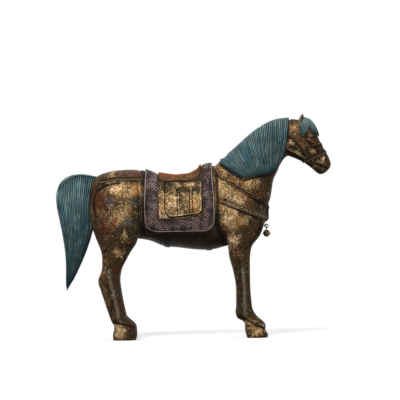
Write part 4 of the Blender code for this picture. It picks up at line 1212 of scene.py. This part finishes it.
BLANKET_GILT_SPOTS = [
    (-41, 170, 34), (-40, 172, 26), (-24, 172, 22), (0, 176, 22), (-20, 199, 9), (-4, 199, 9),
]
PAD_RIM_RADIUS = 0.7
PAD_RIM_LIFT = 0.5
gold_leaf = weathered_with_painted_light("gold_leaf_worn", 0.55, 0.2, BLANKET_GILT_SPOTS, [(-110, 204, 9)], [(-28, 186, 7)])
brown_bronze = weathered_with_painted_light("brown_bronze_patina", 0.12, 0.3, [(-68, 190, 12)], [(19, 120, 10)], [(-68, 150, 8)])
pad_rim = rounded(offset(PAD_OUTLINE, -PAD_RIM_RADIUS))
pad = [marked(laid(skin, rounded(PAD_OUTLINE), PAD_LIFT, PAD_THICKNESS), crown=-0.5)]
pad += [cord(pad_rim, side, PAD_RIM_LIFT, PAD_RIM_RADIUS, 0.5) for side in SIDES.values()]
blanket = laid(skin, rounded(BLANKET_OUTLINE), BLANKET_LIFT, BLANKET_THICKNESS)
finished(gathered(pad), "sweat_pad_sheet", brown_bronze, "sweat_pad")
finished(blanket, "saddle_blanket_sheet", gold_leaf, "saddle_blanket")
finished(border(), "blanket_border_weave", plum_paint(), "blanket_border")


# Saddle: gilded flaps and a lacquered seat, all cast bronze. Studs draw the seat down on the back. A wide
# band and two straps cross each flap, with a raised rim round it. The seat dips between cantle and pommel.
FLAP_OUTLINE = [(-36, 203.6, 1.5), (-36, 157.6, 9), (10.4, 162.6, 7), (10.4, 203.6, 0)]
FLAP_RIM = [(-35.3, 203, 0), (-35.3, 158.3, 8.4), (9.7, 163.2, 6.4), (9.7, 203, 0)]
FLAP_BAND_FOOT_Z = 194.4
FLAP_BAND = [(-33.6, FLAP_BAND_FOOT_Z), (9.4, FLAP_BAND_FOOT_Z), (9.4, 202), (-33.6, 202)]
FLAP_STRAPS = [(-20.6, -17.4, 160.6), (-5.0, -1.4, 162.6)]
FLAP_THICKNESS = 1.3
TRIM_LIFT = TOP_LIFT + FLAP_THICKNESS - 0.2
BAND_THICKNESS = 0.4
STRAP_THICKNESS = 0.3
SEAM_RADIUS = 0.65
RIM_RADIUS = 0.75
SEAT_OUTLINE = [
    (-44.8, 216.5, 1), (-44.8, 206.5, 2), (-40, 204.2, 3), (-7, 204.2, 6), (4, 207.5, 6), (10.6, 213.5, 0),
    (10.6, 227.6, 1), (5.4, 220, 8), (-5, 214.5, 20), (-22, 213, 30),
]
SEAT_HALF_WIDTH = 22.0
SEAT_ROUNDING = 2.8
SEAT_CORNER_RADIUS = 9.0
CORNER_CUTS = (0.02, 0.1, 0.22, 0.4, 0.65, 1.0)


def flap(side):
    low, high = sorted((side, side * PAST_SIDE))
    panel = laid(skin, rounded(FLAP_OUTLINE), TOP_LIFT, FLAP_THICKNESS, low, high)
    band = laid(skin, FLAP_BAND, TRIM_LIFT, BAND_THICKNESS, low, high)
    shapes = [marked(panel, crown=0), marked(band, crown=0)]
    for left, right, foot in FLAP_STRAPS:
        outline = [(left, foot), (right, foot), (right, FLAP_BAND_FOOT_Z), (left, FLAP_BAND_FOOT_Z)]
        shapes.append(marked(laid(skin, outline, TRIM_LIFT, STRAP_THICKNESS, low, high), crown=-0.1))
        # Dark cords along the strap edges: painted shade beside each strap
        for x in (left, right):
            shapes.append(cord([(x, foot), (x, FLAP_BAND_FOOT_Z)], side, TRIM_LIFT, SEAM_RADIUS, -1))
    shapes.append(cord(rounded(FLAP_RIM)[1:], side, TRIM_LIFT, RIM_RADIUS, 0.85))
    # A dark cord outside the rim: painted shade beside it
    shapes.append(cord(rounded(offset(FLAP_RIM, 2 * RIM_RADIUS)), side, TOP_LIFT, RIM_RADIUS, -1))
    return gathered(shapes)


def round_side(edge):
    """Whether an edge runs round the seat's right or left side."""
    y, other = (vert.co.y for vert in edge.verts)
    return abs(abs(y) - SEAT_HALF_WIDTH) < 0.01 and abs(y - other) < 0.01


def seat():
    block = prism(rounded(SEAT_OUTLINE), -SEAT_HALF_WIDTH, SEAT_HALF_WIDTH)
    sides = [edge for edge in block.edges if round_side(edge)]
    bmesh.ops.bevel(
        block, geom=sides, offset=SEAT_ROUNDING, offset_type="OFFSET", segments=5, profile=0.5,
        affect="EDGES", material=-1, clamp_overlap=True,
    )
    xs = [x for x, _, _ in SEAT_OUTLINE]
    for end, inward in ((min(xs), 1), (max(xs), -1)):
        for share in CORNER_CUTS:
            spot = (end + inward * share * SEAT_CORNER_RADIUS, 0, 0)
            geom = block.verts[:] + block.edges[:] + block.faces[:]
            bmesh.ops.bisect_plane(block, geom=geom, plane_co=spot, plane_no=(1, 0, 0))
    for vert in block.verts:
        near = max(0, 1 - min(vert.co.x - min(xs), max(xs) - vert.co.x) / SEAT_CORNER_RADIUS)
        drawn_in = SEAT_CORNER_RADIUS * (1 - math.sqrt(max(0, 1 - near**2)))
        vert.co.y *= 1 - drawn_in / SEAT_HALF_WIDTH
    obj, under = stand_in(block), grown(skin, TOP_LIFT)
    cut(obj, "DIFFERENCE", under)
    return settled(obj, under)


SEAT_DARK_BROWN = (0.120, 0.062, 0.030)
SEAT_BROWN = (0.320, 0.170, 0.080)
SEAT_ORANGE = (0.420, 0.100, 0.026)


def seat_lacquer():
    """Brown lacquer, worn to orange along the top of the seat, with a painted shadow along its foot."""
    finish = Finish("seat_lacquer")
    cloud = finish.noise(9, 4, 0.6)
    grain = finish.noise(2.2, 4, 0.65, finish.at((0, 0, 0), (0.3, 1, 1)))
    height = finish.axis(finish.place, "Z")
    up = finish.upness()
    brown = finish.mix(finish.rise(grain, 0.35, 0.65), SEAT_DARK_BROWN, SEAT_BROWN)
    # A painted shadow along the seat's foot
    foot = 1 - finish.rise(height + (grain - 0.5) * 2 * MM, 204.2 * MM, 205.8 * MM)
    brown = finish.mix(foot, brown, GROOVE_BLACK)
    edge = finish.rise(up + (cloud - 0.5) * 0.4, -0.02, 0.14)
    worn = edge * (1 - finish.rise(up + (grain - 0.5) * 0.3, 0.84, 0.98) * 0.65)
    colour = finish.mix(worn, brown, SEAT_ORANGE)
    return finish.surface(
        base_color=colour, roughness=0.5, normal=finish.bump(grain, 0.25), specular_ior_level=PAINT_GLOSS
    )


finished(seat(), "saddle_seat_block", seat_lacquer(), "saddle_seat")
for name, side in SIDES.items():
    finished(flap(side), f"saddle_flap_{name}_panel", gold_leaf, f"saddle_flap_{name}")


# Girths: two thin bronze bands, soldered under the belly from one edge of the saddle cloths to the other.
# They have the dark brown of the metal.
GIRTH_X = {"front": 19.3, "rear": -35.3}
GIRTH_HALF_WIDTH = 3.5
GIRTH_TOP_Z = 141.0
BELOW_BELLY_Z = 100.0
GIRTH_LIFT = 0.3
GIRTH_THICKNESS = 0.8

for name, x in GIRTH_X.items():
    left, right = x - GIRTH_HALF_WIDTH, x + GIRTH_HALF_WIDTH
    outline = [(left, BELOW_BELLY_Z), (right, BELOW_BELLY_Z), (right, GIRTH_TOP_Z), (left, GIRTH_TOP_Z)]
    band = marked(laid(skin, outline, GIRTH_LIFT, GIRTH_THICKNESS), crown=-0.15)
    finished(band, f"girth_{name}_band", brown_bronze, f"girth_{name}")


# Breast straps, pendant and crupper straps: bronze bands with raised edges, soldered to the barrel. The
# breast straps are gilded, the lower one with a row of beads, and a lacquered pendant hangs over the chest.
# A breast strap is a point inside the barrel, which way is forward from it, and a half width.
UPPER_STRAP = ((62, 192), (37.5, -25.6), 2.0)
LOWER_STRAP = ((60, 169), (48.6, -21.6), 3.4)
STRAP_LIFT = 0.3
STRAP_HEIGHT = 1.0
STRAP_EDGES = [
    (-1, -0.3, -1), (-1, 0.9, -0.6), (-0.72, 1.45, 0.8), (-0.46, 0.7, -0.9), (0.46, 0.7, -0.5),
    (0.72, 1.45, 0.9), (1, 0.9, -0.8), (1, -0.3, -1),
]
BEAD_PITCH = 3.4
BEAD_RADIUS = 1.15
BEAD_LIFT = 0.5
STRAP_REACH = math.radians(128)
STRAP_STEPS = 150


def hoop(centre, forward, reach, count):
    """Points a strap's lift above the skin, and normals, where a fan of rays from inside meets it.

    The fan lies in the plane of forward and Y, and reaches to an angle on both sides of forward.
    """
    forward = Vector((forward[0], 0, forward[1])).normalized()
    middle = Vector((centre[0], 0, centre[1]))
    spots = []
    for k in range(count + 1):
        angle = 2 * reach * k / count - reach
        way = forward * math.cos(angle) + Vector((0, math.sin(angle), 0))
        point, normal, _, _ = skin_tree.ray_cast(middle, way)
        spots.append((point, normal if normal.dot(way) > 0 else -normal))
    normals = evened([normal for _, normal in spots], 6)
    return evened([point + normal * STRAP_LIFT for (point, _), normal in zip(spots, normals)], 3), normals


def beads(points):
    """Small half-sunk balls in a row along points."""
    shapes, walked = [], 0.0
    for a, b in zip(points, points[1:]):
        walked += (b - a).length
        if walked < BEAD_PITCH:
            continue
        walked -= BEAD_PITCH
        ball = bmesh.new()
        bmesh.ops.create_icosphere(ball, subdivisions=2, radius=BEAD_RADIUS, matrix=Matrix.Translation(b))
        shapes.append(marked(ball, crown=1))
    return shapes


def breast_strap(centre, forward, half_width):
    points, normals = hoop(centre, forward, STRAP_REACH, STRAP_STEPS)
    return swept(points, normals, half_width, STRAP_HEIGHT, STRAP_EDGES), points, normals


upper_strap, _, _ = breast_strap(*UPPER_STRAP)
finished(upper_strap, "breast_strap_upper_band", gilt_bronze, "breast_strap_upper")
lower_strap, lower_points, lower_normals = breast_strap(*LOWER_STRAP)
row = beads([point + normal * BEAD_LIFT for point, normal in zip(lower_points, lower_normals)])
lower_strap = gathered([lower_strap, *row])
finished(lower_strap, "breast_strap_lower_band", gilt_bronze, "breast_strap_lower")

PENDANT_TOP_Z = 172.0
PENDANT_FOOT_Z = 149.5
PENDANT_HALF_WIDTH = 3.4
PENDANT_LIFT = 2.1
PENDANT_HEIGHT = 0.9
PENDANT_STEPS = 30
PENDANT_PROFILE = [
    (-1, -2.6, -1), (-1, 0.7, -0.4), (-0.72, 1.2, 0.6), (-0.46, 0.7, -0.6), (0.46, 0.7, -0.6),
    (0.72, 1.2, 0.6), (1, 0.7, -0.4), (1, -2.6, -1),
]
FAR_AHEAD = 225.0
CRUPPER_PATH = [(-68.8, 208.2), (-100, 208.6), (-119.6, 205.6)]
CRUPPER_HALF_WIDTH = 3.2
CRUPPER_PROFILE = [
    (-1, -0.3, 0), (-1, 1.2, 0.4), (-0.8, 1.4, 0.9), (-0.62, 0.8, -0.5), (-0.1, 0.8, -0.1), (0, 1.1, 0.2),
    (0.1, 0.8, -0.5), (0.5, 0.8, -0.1), (0.6, 1.1, 0.2), (0.7, 0.8, -0.5), (0.88, 1.2, 0), (1, 1.0, -0.3),
    (1, -0.3, -0.6),
]


def pendant():
    points, normals, ends = [], [], []
    for k in range(PENDANT_STEPS + 1):
        z = PENDANT_TOP_Z + (PENDANT_FOOT_Z - PENDANT_TOP_Z) * k / PENDANT_STEPS
        point, normal, _, _ = skin_tree.ray_cast(Vector((FAR_AHEAD, 0, z)), Vector((-1, 0, 0)))
        points.append(point)
        normals.append(normal)
        ends.append(min(1, 0.2 + k / 6, 0.2 + (PENDANT_STEPS - k) / 6))
    normals = evened(normals, 4)
    raised = [point + normal * PENDANT_LIFT * end for point, normal, end in zip(points, normals, ends)]
    heights = [PENDANT_HEIGHT * end for end in ends]
    return swept(raised, normals, PENDANT_HALF_WIDTH, heights, PENDANT_PROFILE)


STRAP_BLACK = (0.014, 0.010, 0.007)
STRAP_RED = (0.050, 0.021, 0.012)


def red_lacquer_finish():
    """Dark red lacquer on bronze, worn through on raised edges."""
    finish = Finish("red_strap_lacquer")
    crown = finish.mark("crown")
    cloud = finish.noise(5, 4, 0.6)
    fine = finish.noise(0.8, 3, 0.6)
    colour = finish.mix(finish.rise(cloud, 0.4, 0.6), STRAP_BLACK, STRAP_RED)
    paled = finish.rise(crown + (cloud - 0.5) * 1.2, 0.1, 0.9)
    colour = finish.mix(paled * 0.85, colour, DULL_GOLD)
    # Low crown values in the grooves turn near black: painted shade
    colour = finish.mix(finish.rise(0 - crown, 0.2, 0.8) * 0.8, colour, GROOVE_BLACK)
    return finish.surface(
        base_color=colour, roughness=0.5, normal=finish.bump(fine, 0.2), specular_ior_level=PAINT_GLOSS
    )


red_lacquer = red_lacquer_finish()
finished(pendant(), "breast_pendant_strip", red_lacquer, "breast_pendant")
for name, side in SIDES.items():
    line = line_on(CRUPPER_PATH, side, STRAP_LIFT)
    band = swept(*line, CRUPPER_HALF_WIDTH, STRAP_HEIGHT, CRUPPER_PROFILE)
    finished(band, f"crupper_strap_{name}_band", brown_bronze, f"crupper_strap_{name}")


# Bridle: a crown over the poll, cheek straps, a band over the face and a noseband. All are narrow bronze
# bands, soldered on and lacquered, but for the gilded crown.
BRIDLE_HALF_WIDTH = 1.9
BRIDLE_EDGES = [
    (-1, -0.3, -1), (-1, 0.3, -0.4), (-0.8, 0.8, 0.7), (-0.5, 0.75, 0.6), (-0.2, 0.4, -1), (0.8, 0.4, -1),
    (1, 0.3, -1), (1, -0.3, -1),
]
NOSEBAND = ((160, 233.6), (44, 19.5))
FACE_BAND = ((157.5, 246.6), (26.5, 4.8))
CROWN = ((131.5, 250), (0, 1))
CROWN_HALF_WIDTH = 2.9
FACE_BAND_REACH = math.radians(112)
CROWN_REACH = math.radians(100)
BRIDLE_STEPS = 96
CHEEK_STRAP_PATH = [(126, 259.4), (133, 254.2), (141.4, 243), (148.3, 232.4)]


def bridle_band(centre, forward, reach, half_width=BRIDLE_HALF_WIDTH, profile=BRIDLE_EDGES):
    line = hoop(centre, forward, reach, BRIDLE_STEPS)
    return swept(*line, half_width, STRAP_HEIGHT, profile, closed=reach == math.pi)


low_edged = [(-across, up, crown) for across, up, crown in reversed(BRIDLE_EDGES)]
noseband = bridle_band(*NOSEBAND, math.pi, profile=low_edged)
finished(noseband, "noseband_strap", red_lacquer, "noseband")
finished(bridle_band(*FACE_BAND, FACE_BAND_REACH), "face_band_strap", red_lacquer, "face_band")
crown_band = marked(bridle_band(*CROWN, CROWN_REACH, CROWN_HALF_WIDTH), crown=0.1)
finished(crown_band, "headstall_crown_strap", gilt_bronze, "headstall_crown")
for name, side in SIDES.items():
    line = line_on(CHEEK_STRAP_PATH, side, STRAP_LIFT)
    band = swept(*line, BRIDLE_HALF_WIDTH, STRAP_HEIGHT, BRIDLE_EDGES)
    finished(band, f"cheek_strap_{name}_band", red_lacquer, f"cheek_strap_{name}")


# Bell: a round gilded bell on a wire link, which hangs from a wire staple in the chest. The link swings fore
# and aft on the staple's bar, and the bell swings sideways on the link.
STAPLE_BAR = Vector((94.2, 0, 144.8))
STAPLE_HALF_WIDTH = 2.6
STAPLE_LENGTH = 9.0
STAPLE_WIRE_RADIUS = 0.7
STAPLE_BEND = 0.9
STAPLE_BEND_ANGLES = (0, 0.5, 1.07, 1.57)
LINK_RADIUS = 2.3
LINK_WIRE_RADIUS = 0.6
LINK_DROP = 0.8
BELL_PIVOT = Vector((94.2, 0, 141.7))
EYE_RING_RADIUS = 1.8
EYE_RING_DROP = 0.4
BELL_CENTRE = Vector((94.2, 0, 134.4))
BELL_RADIUS = 5.0
BELL_BAND = 0.35
BELL_STEPS = 40
BELL_SLIT_WIDTH = 0.9
BELL_SLIT_DEPTH = 2.4


def wire_ring(centre, radius, wire_radius, turn):
    """A closed ring of wire."""
    bm = bmesh.new()
    place = Matrix.Translation((radius, 0, 0)) @ Matrix.Rotation(math.pi / 2, 4, "X")
    bmesh.ops.create_circle(bm, segments=12, radius=wire_radius, matrix=place)
    bmesh.ops.spin(
        bm, geom=bm.edges[:], cent=(0, 0, 0), axis=(0, 0, 1), angle=2 * math.pi, steps=40, use_merge=True
    )
    bmesh.ops.recalc_face_normals(bm, faces=bm.faces)
    bm.transform(Matrix.Translation(centre) @ turn)
    return bm


def staple():
    """A wire bent to a flat U, with its ends in the chest."""
    half = [STAPLE_BAR + Vector((-STAPLE_LENGTH, -STAPLE_HALF_WIDTH, 0))]
    for angle in STAPLE_BEND_ANGLES:
        forward, inward = STAPLE_BEND * math.sin(angle), STAPLE_BEND * math.cos(angle)
        half.append(STAPLE_BAR + Vector((forward - STAPLE_BEND, STAPLE_BEND - STAPLE_HALF_WIDTH - inward, 0)))
    path = half + [Vector((point.x, -point.y, point.z)) for point in reversed(half)]
    return swept(path, [UPWARDS] * len(path), STAPLE_WIRE_RADIUS, STAPLE_WIRE_RADIUS, round_profile(12))


def bell():
    """A ball spun from a half round, with a raised band, a slit below and a ring above."""
    ball = bmesh.new()
    outline = []
    for k in range(BELL_STEPS + 1):
        angle = math.pi * k / BELL_STEPS
        swell = BELL_RADIUS - BELL_BAND + BELL_BAND * (abs(k - BELL_STEPS / 2) < 2)
        outline.append(Vector((swell * math.sin(angle), 0, swell * math.cos(angle))))
    verts = [bmesh.ops.create_vert(ball, co=co)["vert"][0] for co in outline]
    for a, b in zip(verts, verts[1:]):
        bmesh.ops.contextual_create(ball, geom=[a, b])
    bmesh.ops.spin(
        ball, geom=ball.verts[:] + ball.edges[:], cent=(0, 0, 0), axis=(0, 0, 1), angle=2 * math.pi,
        steps=48, use_merge=True,
    )
    bmesh.ops.remove_doubles(ball, verts=ball.verts, dist=WELD)
    bmesh.ops.recalc_face_normals(ball, faces=ball.faces)
    ball.transform(Matrix.Translation(BELL_CENTRE))
    slit = bmesh.new()
    size = Matrix.Diagonal((BELL_RADIUS * 1.5, BELL_SLIT_WIDTH, BELL_SLIT_DEPTH * 2, 1))
    foot = BELL_CENTRE - Vector((0, 0, BELL_RADIUS))
    bmesh.ops.create_cube(slit, size=1, matrix=Matrix.Translation(foot) @ size)
    obj, tool = stand_in(ball), stand_in(slit)
    cut(obj, "DIFFERENCE", tool)
    ring = BELL_PIVOT - Vector((0, 0, EYE_RING_DROP))
    return gathered([
        settled(obj, tool),
        wire_ring(ring, EYE_RING_RADIUS, LINK_WIRE_RADIUS, Matrix.Rotation(math.pi / 2, 4, "Y")),
    ])


link_turn = Matrix.Rotation(math.pi / 2, 4, "X")
link = wire_ring(STAPLE_BAR - Vector((0, 0, LINK_DROP)), LINK_RADIUS, LINK_WIRE_RADIUS, link_turn)
finished(staple(), "bell_staple_wire", gilt_bronze, "bell_staple")
finished(link, "bell_link_ring", gilt_bronze, "bell_link", body="bell_link")
bell_gilding = weathered_with_painted_light("bell_gilding", 0.5, 0.2, [(97, 136, 12)], [(90, 131, 4)], [(92, 138, 4)])
finished(bell(), "bell_ball", bell_gilding, "bell", body="bell")


# Fixings: pins, dowels, studs, nuts and the belly plug. They are turned and filed bronze, driven in or
# screwed tight, and keep their plain shapes.
FIXINGS = [
    "head_pin", "tail_pin", "belly_plug", "mane_dowel_rear", "mane_dowel_front", "saddle_stud_rear",
    "saddle_stud_front", "saddle_nut_rear", "saddle_nut_front", "neck_pin_right", "neck_pin_left",
    "foreleg_pin_right", "foreleg_pin_left", "hindleg_pin_right", "hindleg_pin_left",
]
FILED_BROWN = (0.10, 0.065, 0.035)
FILED_YELLOW = (0.24, 0.16, 0.09)
filed = Finish("filed_metal")
scratches = filed.noise(0.7, 4, 0.7, filed.at((0, 0, 0), (1, 1, 0.1)))
filed.surface(
    base_color=filed.mix(scratches, FILED_BROWN, FILED_YELLOW), roughness=0.35 + scratches * 0.3,
    metallic=0.9, normal=filed.bump(scratches, 0.1),
)
for name in FIXINGS:
    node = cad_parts[name]
    node.data.materials.clear()
    node.data.materials.append(filed.material)


# Stage: a plain pale floor, soft light from above and in front, and a long lens at the horse's near side. The
# floor and the world look brighter than they shine, so that the background is pale and the bronze isn't.
FLOOR_WIDTH = 1.6
FLOOR_SEEN = (0.93, 0.93, 0.93)
FLOOR_UNSEEN = (0.15, 0.15, 0.15)
FLOOR_GLOW = (0.35, 0.35, 0.35)
WORLD_UNSEEN = 0.22
LIT_PLACE = Vector((0, 0, 0.16))
LAMPS = [
    ("key", (-0.9, -1.6, 1.9), 1.1, 42),
    ("fill", (1.6, -1.6, 0.9), 1.4, 9),
    ("top", (0.2, 0.5, 2.2), 1.4, 16),
]
VIEW_CENTRE = (0.0085, 0.1792)
VIEW_WIDTH = 0.52
VIEW_DISTANCE = 3.6
CAMERA_RISE = 0.02
CAMERA_ROLL = -math.atan(0.0195)


def showing(nodes):
    """1 or more for a ray that shows the background: straight to the camera, off metal or through glass."""
    rays = [nodes.node("ShaderNodeLightPath", output=f"Is {kind} Ray") for kind in ("Glossy", "Transmission")]
    return nodes.node("ShaderNodeLightPath", output="Is Camera Ray") + rays[0] + rays[1]


floor_shape = bmesh.new()
bmesh.ops.create_grid(floor_shape, x_segments=1, y_segments=1, size=FLOOR_WIDTH / 2)
floor_mesh = bpy.data.meshes.new("floor")
floor_shape.to_mesh(floor_mesh)
floor = bpy.data.objects.new("floor", floor_mesh)
bpy.context.scene.collection.objects.link(floor)
floor_paint = Finish("floor_paint")
seen = showing(floor_paint)
floor_mesh.materials.append(floor_paint.surface(
    base_color=floor_paint.mix(seen, FLOOR_UNSEEN, FLOOR_SEEN), roughness=0.9, specular_ior_level=0.0,
    emission_color=floor_paint.mix(seen, (0, 0, 0), FLOOR_GLOW), emission_strength=1.0,
))

for name, place, size, power in LAMPS:
    lamp = bpy.data.lights.new(name, "AREA")
    lamp.size = size
    lamp.energy = power
    lamp_object = bpy.data.objects.new(name, lamp)
    lamp_object.location = place
    lamp_object.rotation_euler = (LIT_PLACE - Vector(place)).to_track_quat("-Z", "Y").to_euler()
    lamp_object.visible_camera = False
    bpy.context.scene.collection.objects.link(lamp_object)

world = bpy.data.worlds.new("studio")
bpy.context.scene.world = world
world.use_nodes = True
studio = Nodes(world.node_tree)
sockets = {"Value": showing(studio), "To Min": WORLD_UNSEEN, "To Max": 1.0}
backdrop = world.node_tree.nodes["Background"]
studio.put(backdrop.inputs["Strength"], studio.node("ShaderNodeMapRange", None, sockets))
studio.put(backdrop.inputs["Color"], (1, 1, 1))

lens = bpy.data.cameras.new("camera")
lens.sensor_width = 36
lens.lens = lens.sensor_width * VIEW_DISTANCE / VIEW_WIDTH
camera = bpy.data.objects.new("camera", lens)
camera.location = (VIEW_CENTRE[0], -VIEW_DISTANCE, VIEW_CENTRE[1] + CAMERA_RISE)
camera.rotation_euler = (math.pi / 2 - math.atan2(CAMERA_RISE, VIEW_DISTANCE), 0, 0)
camera.rotation_euler.rotate_axis("Z", CAMERA_ROLL)
bpy.context.scene.collection.objects.link(camera)
bpy.context.scene.camera = camera
bpy.context.scene.view_settings.view_transform = "Standard"
